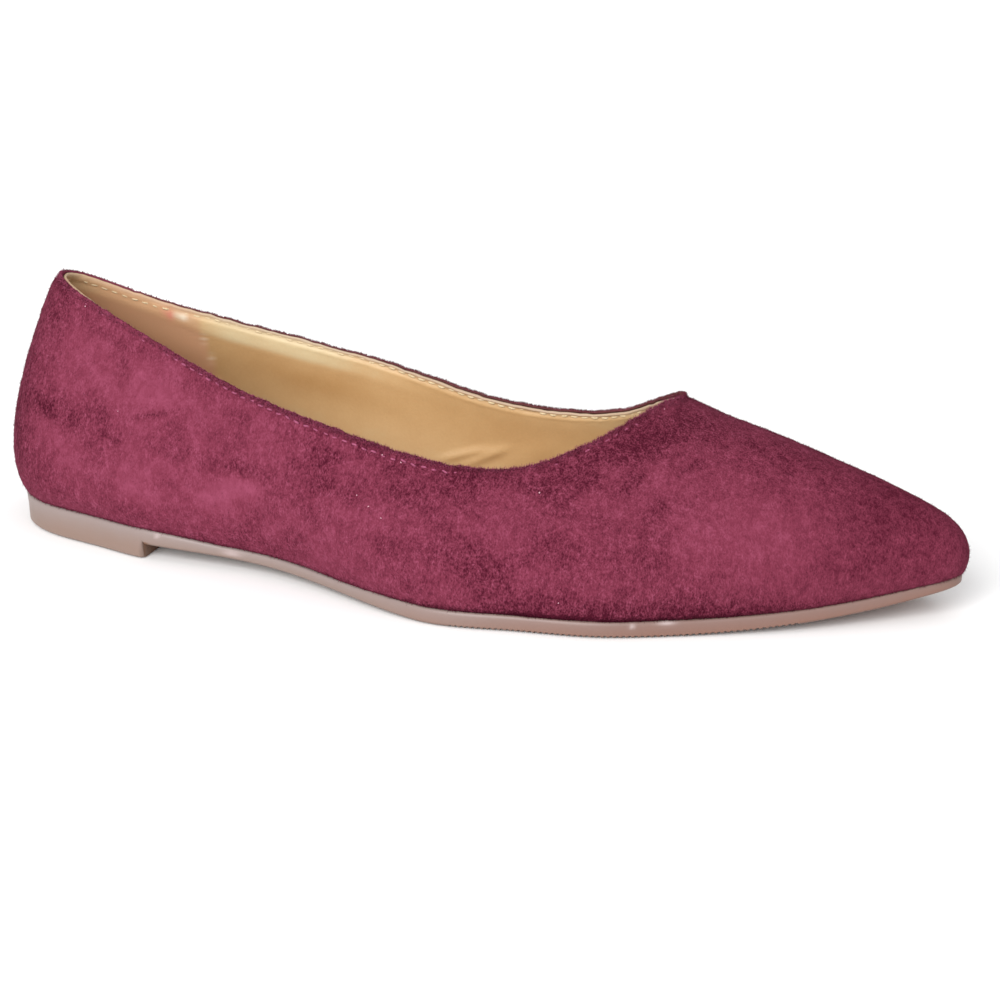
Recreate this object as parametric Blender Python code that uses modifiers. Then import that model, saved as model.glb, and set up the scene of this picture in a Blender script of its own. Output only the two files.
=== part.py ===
"""Right-foot ballet flat with a pointed toe, modelled in metres with +Z up and the toe along +X.

Three pieces are put together as on the real shoe: a moulded rubber outsole with its low heel in one
piece, a hollow suede upper that is lasted over the edge and turned in underneath, and an insole that
lies on the turned-in margin. The lateral (outer) side of the foot is -Y and the medial side is +Y.
"""

from collections import namedtuple

import bmesh
import bpy
import numpy as np

# Driving dimensions
LENGTH = 0.2485         # feather line, from the back of the heel to the tip of the toe
TOE_SWING = 0.0155      # how far the tip lies to the medial side of the heel's axis
SWING_START = 0.30      # share of the length at which the middle line starts to swing
SWING_POWER = 1.6
WALL = 0.0018           # suede and lining together
GAP = 0.0003            # clearance between pieces that lie on each other
WELD = 1e-6             # points closer than this are one point

# Lasting margin, the part of the upper that is turned in under the foot
LASTING_MARGIN = 0.009  # its width
MARGIN_HEEL = 0.026     # behind here it turns towards one point of the middle line
MARGIN_TOE = 0.020      # and so it does over this length at the tip
MARGIN_LIMIT = 0.6      # it takes up no more than this share of the way to the middle line
MARGIN_ROWS = (1.0, 0.45)

# Sole
HEEL_LIFT = 0.0038      # height of the heel's block below the sole
SOLE_EDGE = 0.0045      # thickness of the sole's edge at the ball
EDGE_THINNING = 0.0011  # the edge is this much thinner at the waist and at the tip
WAIST_FADE = 0.025      # run over which the edge thins ahead of the heel
WAIST_END = 0.095       # from here to the tread the edge thickens again
TOE_SPRING = 0.0080     # rise of the sole's underside at the tip
SPRING_POWER = 1.9
HEEL_BREAST = 0.0435    # front face of the heel's block
ARCH_START = 0.0460     # the waist comes down from here, ever more steeply
ARCH_POWER = 1.4
BREAST_DRAFT = 0.0005   # the breast leans forward by this much over its height
TREAD_START = 0.1270    # the forefoot lies flat on the floor from here
TREAD_END = 0.1830      # to here
SOLE_LEDGE = 0.0004     # the sole stands out this far from the feather line
SIDE_SWELL = 0.0004     # and its side bulges by this much more
SOLE_BEVEL = 0.0008     # rounding of the lower edge
HEEL_TAPER = 0.0006     # the heel's block is drawn in by this much above its lower edge

# Insole
INSOLE_THICKNESS = 0.0025
INSOLE_INSET = 0.0022   # from the feather line
INSOLE_BEVEL = 0.0006

# Mesh density
COLLAR_RIBS = 34
CREST_RIBS = 16
RIB_POINTS = 11
OUTLINE_STATIONS = 44

# The wall at the feather line. lateral and medial are half widths from the middle line. Each rib of
# the wall leaves the feather line towards a handle that lies swell outwards and rise upwards.
Feather = namedtuple("Feather", "x lateral medial swell rise")
FEATHER = [
    Feather(0.0000, 0.0000, 0.0000, 0.0085, 0.011),
    Feather(0.0040, 0.0125, 0.0125, 0.0087, 0.011),
    Feather(0.0170, 0.0203, 0.0205, 0.0082, 0.011),
    Feather(0.0300, 0.0234, 0.0231, 0.0072, 0.011),
    Feather(0.0420, 0.0261, 0.0246, 0.0064, 0.011),
    Feather(0.0820, 0.0274, 0.0228, 0.0060, 0.013),
    Feather(0.1150, 0.0395, 0.0280, 0.0060, 0.016),
    Feather(0.1320, 0.0433, 0.0313, 0.0060, 0.017),
    Feather(0.1490, 0.0417, 0.0340, 0.0060, 0.018),
    Feather(0.1700, 0.0397, 0.0356, 0.0058, 0.018),
    Feather(0.1850, 0.0345, 0.0345, 0.0055, 0.018),
    Feather(0.2150, 0.0218, 0.0240, 0.0050, 0.015),
    Feather(0.2365, 0.0100, 0.0115, 0.0045, 0.011),
    Feather(0.2455, 0.0050, 0.0052, 0.0042, 0.010),
    Feather(0.2485, 0.0000, 0.0000, 0.0042, 0.010),
]

# The collar's edge, from the back of the heel to the throat. lean is the wall's slope in from
# upright at the edge, in degrees.
Collar = namedtuple("Collar", "x lateral medial lateral_height medial_height lean")
COLLAR = [
    Collar(0.0082, 0.0000, 0.0000, 0.0652, 0.0652, 24),
    Collar(0.0125, 0.0072, 0.0072, 0.0650, 0.0627, 18),
    Collar(0.0315, 0.0128, 0.0140, 0.0588, 0.0559, 18),
    Collar(0.0765, 0.0236, 0.0232, 0.0462, 0.0459, 14),
    Collar(0.1115, 0.0286, 0.0275, 0.0400, 0.0388, 20),
    Collar(0.1340, 0.0278, 0.0252, 0.0364, 0.0347, 30),
    Collar(0.1500, 0.0220, 0.0205, 0.0384, 0.0341, 40),
    Collar(0.1660, 0.0116, 0.0130, 0.0466, 0.0434, 55),
    Collar(0.1730, 0.0042, 0.0064, 0.0493, 0.0483, 60),
    Collar(0.1762, 0.0000, 0.0000, 0.0500, 0.0500, 60),
]
COLLAR_SHIFT_START = 0.090  # from here to the throat the collar moves over to the crest

# The last's crest, from the instep to just behind the tip. The upper is cut open behind the throat.
# crown is the length of a rib's handle at the crest, as a share of the rib's span.
Crest = namedtuple("Crest", "x offset height crown")
CREST = [
    Crest(0.0660, 0.0008, 0.0770, 0.20),
    Crest(0.1150, 0.0025, 0.0660, 0.20),
    Crest(0.1480, 0.0045, 0.0545, 0.20),
    Crest(0.1762, 0.0065, 0.0500, 0.22),
    Crest(0.1850, 0.0072, 0.0466, 0.24),
    Crest(0.1945, 0.0080, 0.0439, 0.26),
    Crest(0.2165, 0.0105, 0.0368, 0.33),
    Crest(0.2325, 0.0128, 0.0311, 0.42),
]
FOOT_LEAD = 0.008    # the throat's rib meets the feather line this far ahead of the throat
COLLAR_SHARE = 0.36  # length of a rib's handle at the collar's edge, as a share of its span
CUT_START = 0.080    # ahead of here the wall goes over to the last's full sections, cut at the collar
CUT_FULL = 0.140
SLOPE_STEP = 0.0005  # half the run over which the crest's slope is read
CUT_SAMPLES = 201    # places tried along a rib to find its cut

LATERAL, MEDIAL = -1, 1


# Curves through short tables
def column(rows, name):
    return np.array([getattr(row, name) for row in rows])


def spline(knots, values, at):
    """Natural cubic spline through the values at the knots."""
    count = len(knots)
    step = np.diff(knots)
    rise = np.diff(values) / step
    matrix = np.eye(count)
    right = np.zeros(count)
    for i in range(1, count - 1):
        matrix[i, i - 1 : i + 2] = step[i - 1], 2 * (step[i - 1] + step[i]), step[i]
        right[i] = 6 * (rise[i] - rise[i - 1])
    bend = np.linalg.solve(matrix, right)
    at = np.clip(at, knots[0], knots[-1])
    k = np.clip(np.searchsorted(knots, at, side="right") - 1, 0, count - 2)
    ahead, behind, h = knots[k + 1] - at, at - knots[k], step[k]
    curved = (bend[k] * ahead**3 + bend[k + 1] * behind**3) / (6 * h)
    from_left = (values[k] / h - bend[k] * h / 6) * ahead
    from_right = (values[k + 1] / h - bend[k + 1] * h / 6) * behind
    return curved + from_left + from_right


def turn_at(x, start, end):
    """Half-circle angle of x between two round ends, 0 at start and pi at end."""
    return np.arccos(np.clip(1 - 2 * (np.asarray(x, float) - start) / (end - start), -1, 1))


def place_at(turn, start, end):
    return start + (end - start) * (1 - np.cos(turn)) / 2


def along_turn(rows, name, turn):
    """A table's column read along the half-circle angle, so that round ends come out round."""
    return spline(turn_at(column(rows, "x"), rows[0].x, rows[-1].x), column(rows, name), turn)


def smooth_step(x, start, end):
    s = np.clip((np.asarray(x, float) - start) / (end - start), 0, 1)
    return s * s * (3 - 2 * s)


def side_name(side):
    return "lateral" if side == LATERAL else "medial"


def plan_normals(points, side):
    """Outward directions in plan along a run from heel to toe."""
    run = np.gradient(points[:, :2], axis=0)
    normals = np.stack([-run[:, 1], run[:, 0]], axis=1) * side
    return normals / np.linalg.norm(normals, axis=1, keepdims=True)


# The sole's levels and the outline
def waist_ramp(x):
    """1 over the heel, 0 from the start of the tread."""
    share = np.clip((np.asarray(x, float) - ARCH_START) / (TREAD_START - ARCH_START), 0, 1)
    return 1 - share**ARCH_POWER


def spring(x):
    share = np.clip((np.asarray(x, float) - TREAD_END) / (LENGTH - TREAD_END), 0, 1)
    return TOE_SPRING * share**SPRING_POWER


def underside(x):
    """Underside of the sole, leaving out the heel's block."""
    return HEEL_LIFT * waist_ramp(x) + spring(x)


def edge_thickness(x):
    waist = smooth_step(x, HEEL_BREAST, HEEL_BREAST + WAIST_FADE) - smooth_step(x, WAIST_END, TREAD_START)
    return SOLE_EDGE - EDGE_THINNING * (waist + smooth_step(x, TREAD_END, LENGTH))


def feather_height(x):
    return underside(x) + edge_thickness(x)


def middle_line(x):
    share = np.clip((np.asarray(x, float) / LENGTH - SWING_START) / (1 - SWING_START), 0, 1)
    return TOE_SWING * share**SWING_POWER


def feather_line(turn, side):
    x = place_at(turn, 0, LENGTH)
    half = along_turn(FEATHER, side_name(side), turn)
    return np.stack([x, middle_line(x) + side * half, feather_height(x)], axis=1)


def outline(turn, side, offset):
    """The feather line moved outwards in plan by offset, with its ends kept on the middle line."""
    points = feather_line(turn, side)
    normals = plan_normals(points, side)
    normals[0], normals[-1] = (-1, 0), (1, 0)
    points[:, :2] += normals * np.reshape(offset, (-1, 1))
    return points


# The upper
def collar_edge(turn, side):
    start, end = COLLAR[0].x, COLLAR[-1].x
    x = place_at(turn, start, end)
    over = np.clip((x - COLLAR_SHIFT_START) / (end - COLLAR_SHIFT_START), 0, 1) ** 2
    half = along_turn(COLLAR, side_name(side), turn)
    height = along_turn(COLLAR, side_name(side) + "_height", turn)
    return np.stack([x, along_crest("offset", end) * over + side * half, height], axis=1)


def along_crest(name, x):
    return spline(column(CREST, "x"), column(CREST, name), x)


def crest_line(x):
    return np.stack([x, along_crest("offset", x), along_crest("height", x)], axis=1)


def units(vectors):
    return vectors / np.linalg.norm(vectors, axis=1, keepdims=True)


def collar_handles(turn, top, foot, side):
    """Points below the collar's edge that the wall runs towards, square to the edge and along its lean."""
    outward = plan_normals(top, side)
    outward[0] = (-1, 0)
    lean = np.radians(along_turn(COLLAR, "lean", turn))
    reach = COLLAR_SHARE * np.linalg.norm(top - foot, axis=1)
    return top + np.column_stack([outward * (np.sin(lean) * reach)[:, None], -np.cos(lean) * reach])


def crest_handles(crest, foot):
    """Points beside the crest, in the plane that holds the crest and the level line across it."""
    reach = along_crest("crown", crest[:, 0]) * np.linalg.norm(crest - foot, axis=1)
    outward = units((foot - crest)[:, :2]) * reach[:, None]
    middle = np.clip(crest[:, 0], CREST[0].x + SLOPE_STEP, CREST[-1].x - SLOPE_STEP)
    fall = crest_line(middle + SLOPE_STEP)[:, 2] - crest_line(middle - SLOPE_STEP)[:, 2]
    return crest + np.column_stack([outward, outward[:, 0] * fall / (2 * SLOPE_STEP)])


def rib_curves(handles, b):
    """Cubic curves: handles holds four points for each rib, b is the place along it from foot to top."""
    weights = [(1 - b) ** 3, 3 * (1 - b) ** 2 * b, 3 * (1 - b) * b**2, b**3]
    return sum(weight[..., None] * point[:, None, :] for weight, point in zip(weights, handles))


def nearest_place(handles, points):
    """Where each rib passes closest to its own point."""
    b = np.linspace(0, 1, CUT_SAMPLES)
    gap = np.square(rib_curves(handles, b[None, :]) - points[:, None, :]).sum(axis=2)
    k = np.clip(gap.argmin(axis=1), 1, len(b) - 2)
    rows = np.arange(len(points))
    before, here, after = gap[rows, k - 1], gap[rows, k], gap[rows, k + 1]
    shift = 0.5 * (before - after) / (before - 2 * here + after)
    return np.clip(b[k] + shift * (b[1] - b[0]), 0, 1)


def cut_ribs(handles, at):
    """The part of each rib from its foot to the cut, again as four points."""
    at = at[:, None]
    first = [p + (q - p) * at for p, q in zip(handles, handles[1:])]
    second = [p + (q - p) * at for p, q in zip(first, first[1:])]
    return [handles[0], first[0], second[0], second[0] + (second[1] - second[0]) * at]


def wall_ribs(side, collar_ribs=COLLAR_RIBS, crest_ribs=CREST_RIBS, rib_points=RIB_POINTS):
    """Outer surface of one side: ribs from heel to toe, each a cubic curve from feather line to top.
    From the waist to the throat the ribs are the last's full sections, cut off at the collar's edge."""
    throat = COLLAR[-1].x
    collar_turn = np.linspace(0, np.pi, collar_ribs + 1)[:-1]
    collar_foot = turn_at(place_at(collar_turn, 0, throat + FOOT_LEAD), 0, LENGTH)
    crest_share = np.linspace(0, 1, crest_ribs + 1)
    first = turn_at(throat + FOOT_LEAD, 0, LENGTH)
    foot_turn = np.concatenate([collar_foot, first + (np.pi - first) * crest_share])
    foot = feather_line(foot_turn, side)
    outward = plan_normals(foot, side)
    outward[0], outward[-1] = (-1, 0), (1, 0)
    swell = along_turn(FEATHER, "swell", foot_turn)[:, None]
    low = foot + np.column_stack([outward * swell, along_turn(FEATHER, "rise", foot_turn)])
    edge = collar_edge(collar_turn, side)
    along_vamp = throat + (CREST[-1].x - throat) * np.sin(np.pi / 2 * crest_share)
    crest = crest_line(np.concatenate([edge[:, 0], along_vamp]))
    full = [foot, low, crest_handles(crest, foot), crest]
    rear = [points[:collar_ribs] for points in full]
    cut = cut_ribs(rear, nearest_place(rear, edge))
    leaning = [rear[0], rear[1], collar_handles(collar_turn, edge, rear[0], side), edge]
    blend = smooth_step(edge[:, 0], CUT_START, CUT_FULL)[:, None]
    mixed = [p + (q - p) * blend for p, q in zip(leaning, cut)]
    handles = [np.vstack([p, q[collar_ribs:]]) for p, q in zip(mixed, full)]
    return rib_curves(handles, np.linspace(0, 1, rib_points)[None, :])


def margin_rows(foot):
    """The turned-in margin: two rows of points from its inner edge towards the feather line."""
    x = np.clip(foot[:, 0], MARGIN_HEEL, LENGTH - MARGIN_TOE)
    towards = np.stack([x, middle_line(x)], axis=1) - foot[:, :2]
    far = np.linalg.norm(towards, axis=1)
    width = np.minimum(LASTING_MARGIN, MARGIN_LIMIT * far)
    rows = []
    for share in MARGIN_ROWS:
        row = foot.copy()
        row[:, :2] += towards / far[:, None] * (width * share)[:, None]
        row[:, 2] = feather_height(row[:, 0])
        rows.append(row)
    return np.stack(rows, axis=1)


# Blender objects
def new_object(name, verts, faces, collection, material, parent):
    mesh = bpy.data.meshes.new(name)
    mesh.from_pydata([tuple(v) for v in verts], [], faces)
    welded = bmesh.new()
    welded.from_mesh(mesh)
    bmesh.ops.remove_doubles(welded, verts=welded.verts, dist=WELD)
    welded.to_mesh(mesh)
    welded.free()
    mesh.materials.append(material)
    mesh.shade_smooth()
    obj = bpy.data.objects.new(name, mesh)
    obj.parent = parent
    collection.objects.link(obj)
    return obj


def grid_faces(rows, columns, first, flipped):
    """Quads of a grid of points stored row by row, starting at index first."""
    faces = []
    for r in range(rows - 1):
        for c in range(columns - 1):
            a = first + r * columns + c
            quad = (a, a + columns, a + columns + 1, a + 1)
            faces.append(quad[::-1] if flipped else quad)
    return faces


def surface_material(name, colour, roughness):
    material = bpy.data.materials.new(name)
    material.use_nodes = True
    shader = material.node_tree.nodes["Principled BSDF"]
    shader.inputs["Base Color"].default_value = (*colour, 1)
    shader.inputs["Roughness"].default_value = roughness
    shader.inputs["Metallic"].default_value = 0
    material.diffuse_color = (*colour, 1)
    return material


def make_upper(collection, parent):
    """One wall all round the foot, given its thickness inwards by Solidify."""
    verts, faces = [], []
    for side in (LATERAL, MEDIAL):
        ribs = wall_ribs(side)
        grid = np.concatenate([margin_rows(ribs[:, 0]), ribs], axis=1)
        faces += grid_faces(*grid.shape[:2], len(verts), side == MEDIAL)
        verts += list(grid.reshape(-1, 3))
    suede = surface_material("suede", colour=(0.23, 0.04, 0.08), roughness=0.9)
    upper = new_object("upper", verts, faces, collection, suede, parent)
    wall = upper.modifiers.new("wall", "SOLIDIFY")
    wall.thickness = WALL
    wall.offset = -1
    wall.use_even_offset = True
    return upper


def ring_solid(name, rings, collection, material, parent):
    """Solid between outlines that lie over each other. Each ring is a (lateral, medial) pair of runs
    from heel to toe, top ring first. The first and last rings are closed from side to side."""
    stations = len(rings[0][0])
    verts, faces = [], []
    for lateral, medial in rings:
        verts += list(lateral) + list(medial)
    for level in range(len(rings) - 1):
        above, below = 2 * stations * level, 2 * stations * (level + 1)
        for s in range(stations - 1):
            faces.append((above + s, below + s, below + s + 1, above + s + 1))
            m = s + stations
            faces.append((above + m + 1, below + m + 1, below + m, above + m))
    last = 2 * stations * (len(rings) - 1)
    for s in range(stations - 1):
        faces.append((s, s + 1, s + 1 + stations, s + stations))
        faces.append((last + s + stations, last + s + 1 + stations, last + s + 1, last + s))
    return new_object(name, verts, faces, collection, material, parent)


def level_ring(turns, offset, height):
    """The outline's two sides, moved outwards by offset and set at the given height."""
    ring = []
    for side in (LATERAL, MEDIAL):
        run = outline(turns, side, np.broadcast_to(offset, turns.shape))
        run[:, 2] = height
        ring.append(run)
    return ring


def sole_turns():
    """Outline stations, with a close pair at the heel's breast in place of the nearest one."""
    turns = np.linspace(0, np.pi, OUTLINE_STATIONS)
    breast = turn_at(np.array([HEEL_BREAST, HEEL_BREAST + BREAST_DRAFT]), 0, LENGTH)
    clear = np.abs(turns - breast.mean()) > (turns[1] - turns[0]) / 2
    return np.sort(np.concatenate([turns[clear], breast]))


def make_outsole(collection, parent):
    """Moulded unit sole: level top under the margin, rounded side, heel block, flat tread, toe spring."""
    turns = sole_turns()
    x = place_at(turns, 0, LENGTH)
    top = feather_height(x) - GAP
    on_heel = x <= HEEL_BREAST + BREAST_DRAFT / 2
    floor = np.where(on_heel, 0.0, underside(x))
    taper = np.where(on_heel, HEEL_TAPER, 0.0)
    rings = [
        level_ring(turns, SOLE_LEDGE, top),
        level_ring(turns, SOLE_LEDGE + SIDE_SWELL, (top + floor) / 2),
        level_ring(turns, SOLE_LEDGE - taper, floor + SOLE_BEVEL),
        level_ring(turns, SOLE_LEDGE - taper - SOLE_BEVEL, floor),
    ]
    rubber = surface_material("rubber", colour=(0.50, 0.36, 0.30), roughness=0.45)
    return ring_solid("outsole", rings, collection, rubber, parent)


def make_insole(collection, parent):
    """Thin pad on the turned-in margin, with a softened upper edge."""
    turns = np.linspace(0, np.pi, OUTLINE_STATIONS)
    base = feather_height(place_at(turns, 0, LENGTH)) + WALL + GAP
    rings = [
        level_ring(turns, -INSOLE_INSET - INSOLE_BEVEL, base + INSOLE_THICKNESS),
        level_ring(turns, -INSOLE_INSET, base + INSOLE_THICKNESS - INSOLE_BEVEL),
        level_ring(turns, -INSOLE_INSET, base),
    ]
    lining = surface_material("lining", colour=(0.56, 0.36, 0.19), roughness=0.5)
    return ring_solid("insole", rings, collection, lining, parent)


def centre_on_floor(root, pieces):
    """Moves the shoe so that the origin is on the floor, under the middle of its box."""
    bpy.context.view_layer.update()
    graph = bpy.context.evaluated_depsgraph_get()
    corners = np.vstack([np.array(piece.evaluated_get(graph).bound_box) for piece in pieces])
    low, high = corners.min(axis=0), corners.max(axis=0)
    root.location = (-(low[0] + high[0]) / 2, -(low[1] + high[1]) / 2, -low[2])


def main():
    for obj in list(bpy.data.objects):
        bpy.data.objects.remove(obj)
    collection = bpy.data.collections.new("ballet_flat")
    bpy.context.scene.collection.children.link(collection)
    root = bpy.data.objects.new("shoe", None)
    collection.objects.link(root)
    pieces = [make_outsole(collection, root), make_upper(collection, root), make_insole(collection, root)]
    centre_on_floor(root, pieces)


main()
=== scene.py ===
"""Right-foot ballet flat: suede upper, lining, collar stitches, insole and moulded rubber sole.

The pieces are made in the order in which the shoe is put together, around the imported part, and the floor,
light and camera come last. Lengths are metres. +X runs from heel to toe, -Y is the foot's outer side and
+Z is up.
"""

from collections import namedtuple
from itertools import product

import bpy
import numpy as np
from mathutils import Matrix, Vector


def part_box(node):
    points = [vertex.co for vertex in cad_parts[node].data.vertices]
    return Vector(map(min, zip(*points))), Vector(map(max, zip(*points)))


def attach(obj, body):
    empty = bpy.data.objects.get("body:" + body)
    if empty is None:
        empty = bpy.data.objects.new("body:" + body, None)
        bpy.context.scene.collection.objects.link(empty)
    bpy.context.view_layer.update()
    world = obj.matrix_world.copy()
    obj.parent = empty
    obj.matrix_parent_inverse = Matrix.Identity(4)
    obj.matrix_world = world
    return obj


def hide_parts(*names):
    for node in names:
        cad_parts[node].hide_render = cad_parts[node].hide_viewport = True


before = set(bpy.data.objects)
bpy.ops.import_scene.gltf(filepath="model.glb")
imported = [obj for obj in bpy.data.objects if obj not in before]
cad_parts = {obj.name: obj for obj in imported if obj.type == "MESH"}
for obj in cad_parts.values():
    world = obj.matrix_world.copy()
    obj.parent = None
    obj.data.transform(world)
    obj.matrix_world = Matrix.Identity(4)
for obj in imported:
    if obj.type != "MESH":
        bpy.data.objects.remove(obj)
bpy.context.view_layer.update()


# The upper
# One piece of burgundy suede with a short nap on a woven backing, cut flat, folded in at the collar, pulled
# down over the last and turned in under the foot. So the last's lines are laid out here: the feather line,
# where upper and sole meet, the collar's edge, and the crest of the vamp.
LENGTH = 0.2485         # feather line, from the back of the heel to the tip
TOE_SWING = 0.0155      # how far the tip lies to the medial side of the heel's axis
SWING_START = 0.30      # share of the length at which the middle line starts to swing
SWING_POWER = 1.6
SUEDE = 0.0009          # thickness of suede and backing
LASTING_MARGIN = 0.009  # width that is turned in under the foot
MARGIN_HEEL = 0.026     # behind here the margin turns towards one point of the middle line
MARGIN_TOE = 0.020      # and so it does over this length at the tip
MARGIN_LIMIT = 0.6      # it takes up no more than this share of the way to the middle line
MARGIN_ROWS = (1.0, 0.7, 0.4, 0.15)  # rows across it, as shares of its width from the feather line

HEEL_LIFT = 0.0038      # height of the heel's block below the sole
SOLE_EDGE = 0.0045      # thickness of the sole's edge at the ball
EDGE_THINNING = 0.0011  # the edge is this much thinner at the waist and at the tip
WAIST_FADE = 0.025      # run over which the edge thins ahead of the heel
WAIST_END = 0.095       # from here to the tread the edge thickens again
TOE_SPRING = 0.0080     # rise of the sole's underside at the tip
SPRING_POWER = 1.9
HEEL_BREAST = 0.0435    # front face of the heel's block
ARCH_START = 0.0460     # the waist comes down from here, ever more steeply
ARCH_POWER = 1.4
TREAD_START = 0.1270    # the forefoot lies flat on the floor from here
TREAD_END = 0.1830      # to here
SOLE_LEDGE = 0.0004     # the sole stands out this far from the feather line
SIDE_SWELL = 0.0004     # and its side bulges by this much more

# The feather line: half widths to both sides of the middle line, and how far out and up the wall starts
# from it
Feather = namedtuple("Feather", "x lateral medial swell rise")
FEATHER = [
    Feather(0.0000, 0.0000, 0.0000, 0.0085, 0.011),
    Feather(0.0040, 0.0125, 0.0125, 0.0087, 0.011),
    Feather(0.0170, 0.0203, 0.0205, 0.0082, 0.011),
    Feather(0.0300, 0.0234, 0.0231, 0.0072, 0.011),
    Feather(0.0420, 0.0261, 0.0246, 0.0064, 0.011),
    Feather(0.0820, 0.0274, 0.0228, 0.0060, 0.013),
    Feather(0.1150, 0.0395, 0.0280, 0.0060, 0.016),
    Feather(0.1320, 0.0433, 0.0313, 0.0060, 0.017),
    Feather(0.1490, 0.0417, 0.0340, 0.0060, 0.018),
    Feather(0.1700, 0.0397, 0.0356, 0.0058, 0.018),
    Feather(0.1850, 0.0345, 0.0345, 0.0055, 0.018),
    Feather(0.2150, 0.0218, 0.0240, 0.0050, 0.015),
    Feather(0.2365, 0.0100, 0.0115, 0.0045, 0.011),
    Feather(0.2455, 0.0050, 0.0052, 0.0042, 0.010),
    Feather(0.2485, 0.0000, 0.0000, 0.0042, 0.010),
]
# The collar's edge: half widths and heights on both sides, and the wall's lean there in degrees
Collar = namedtuple("Collar", "x lateral medial lateral_height medial_height lean")
COLLAR = [
    Collar(0.0082, 0.0000, 0.0000, 0.0652, 0.0652, 24),
    Collar(0.0125, 0.0072, 0.0072, 0.0650, 0.0627, 18),
    Collar(0.0315, 0.0128, 0.0140, 0.0588, 0.0559, 18),
    Collar(0.0765, 0.0236, 0.0232, 0.0462, 0.0459, 14),
    Collar(0.1115, 0.0286, 0.0275, 0.0400, 0.0388, 20),
    Collar(0.1340, 0.0278, 0.0252, 0.0364, 0.0347, 30),
    Collar(0.1500, 0.0220, 0.0205, 0.0384, 0.0341, 40),
    Collar(0.1660, 0.0116, 0.0130, 0.0466, 0.0434, 55),
    Collar(0.1730, 0.0042, 0.0064, 0.0493, 0.0483, 60),
    Collar(0.1762, 0.0000, 0.0000, 0.0500, 0.0500, 60),
]
COLLAR_SHIFT_START = 0.090  # from here to the throat the collar moves over to the crest
# The last's crest, over the opening too: place to the side, height, and how far a rib runs level from it,
# as a share of the rib's span
Crest = namedtuple("Crest", "x offset height crown")
CREST = [
    Crest(0.0660, 0.0008, 0.0770, 0.20),
    Crest(0.1150, 0.0025, 0.0660, 0.20),
    Crest(0.1480, 0.0045, 0.0545, 0.20),
    Crest(0.1762, 0.0065, 0.0500, 0.22),
    Crest(0.1850, 0.0072, 0.0466, 0.24),
    Crest(0.1945, 0.0080, 0.0439, 0.26),
    Crest(0.2165, 0.0105, 0.0368, 0.33),
    Crest(0.2325, 0.0128, 0.0311, 0.42),
]
THROAT = COLLAR[-1].x
FOOT_LEAD = 0.008    # the throat's rib meets the feather line this far ahead of the throat
COLLAR_SHARE = 0.36  # length of a rib's handle at the collar's edge, as a share of its span
CUT_START = 0.080    # ahead of here the wall goes over to the last's full sections, cut at the collar
CUT_FULL = 0.140
SLOPE_STEP = 0.0005  # half the run over which the crest's slope is read
CUT_SAMPLES = 201    # places tried along a rib to find its cut
WELD = 1e-7          # points closer than this are one point
LATERAL, MEDIAL = -1, 1
SIDE_NAMES = {LATERAL: "lateral", MEDIAL: "medial"}


def column(rows, name):
    """One column of a table as an array."""
    return np.array([getattr(row, name) for row in rows])


def spline(knots, values, at):
    """Natural cubic spline: the second slopes solve the usual three-term equations, and are 0 at the ends."""
    count = len(knots)
    step = np.diff(knots)
    rise = np.diff(values) / step
    inner = np.arange(1, count - 1)
    matrix = np.eye(count)
    matrix[inner, inner - 1] = step[:-1]
    matrix[inner, inner] = 2 * (step[:-1] + step[1:])
    matrix[inner, inner + 1] = step[1:]
    bend = np.linalg.solve(matrix, np.concatenate([[0], 6 * np.diff(rise), [0]]))
    at = np.clip(at, knots[0], knots[-1])
    k = np.clip(np.searchsorted(knots, at, side="right") - 1, 0, count - 2)
    ahead, behind, h = knots[k + 1] - at, at - knots[k], step[k]
    from_left = (values[k] / h - bend[k] * h / 6) * ahead
    from_right = (values[k + 1] / h - bend[k + 1] * h / 6) * behind
    return (bend[k] * ahead**3 + bend[k + 1] * behind**3) / (6 * h) + from_left + from_right


def turn_at(x, start, end):
    """Half-circle angle of x between two round ends, 0 at start and pi at end."""
    return np.arccos(np.clip(1 - 2 * (np.asarray(x, float) - start) / (end - start), -1, 1))


def place_at(turn, start, end):
    """The reverse: start plus the run times (1 - cos turn) / 2."""
    return start + (end - start) * (1 - np.cos(turn)) / 2


def along_turn(rows, name, turn):
    """A table's column read along the half-circle angle, so that round ends come out round."""
    return spline(turn_at(column(rows, "x"), rows[0].x, rows[-1].x), column(rows, name), turn)


def along_crest(name, x):
    """A column of the crest's table, read along x."""
    return spline(column(CREST, "x"), column(CREST, name), x)


def smooth_step(x, start, end):
    """0 before start, 1 after end, and 3 s^2 - 2 s^3 between them."""
    s = np.clip((np.asarray(x, float) - start) / (end - start), 0, 1)
    return s * s * (3 - 2 * s)


def near(distance, run):
    """1 at no distance, falling off as exp(-(distance / run)^2)."""
    return np.exp(-((distance / run) ** 2))


def unit(vectors):
    """Vectors divided by their lengths."""
    return vectors / np.linalg.norm(vectors, axis=-1, keepdims=True)


def plan_normals(points, side, to_tip=True):
    """Outward directions in plan, square to a run that starts at the heel: straight back at its start, and
    straight ahead at its end where it goes to the tip."""
    run = np.gradient(points[:, :2], axis=0)
    normals = unit(np.stack([-run[:, 1], run[:, 0]], axis=1) * side)
    normals[0] = (-1, 0)
    if to_tip:
        normals[-1] = (1, 0)
    return normals


def underside(x):
    """Underside of the sole without the heel's block: high at the waist, on the floor at the tread, and
    rising at the toe, both with a power of the way."""
    arch = np.clip((np.asarray(x, float) - ARCH_START) / (TREAD_START - ARCH_START), 0, 1)
    spring = np.clip((np.asarray(x, float) - TREAD_END) / (LENGTH - TREAD_END), 0, 1)
    return HEEL_LIFT * (1 - arch**ARCH_POWER) + TOE_SPRING * spring**SPRING_POWER


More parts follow.
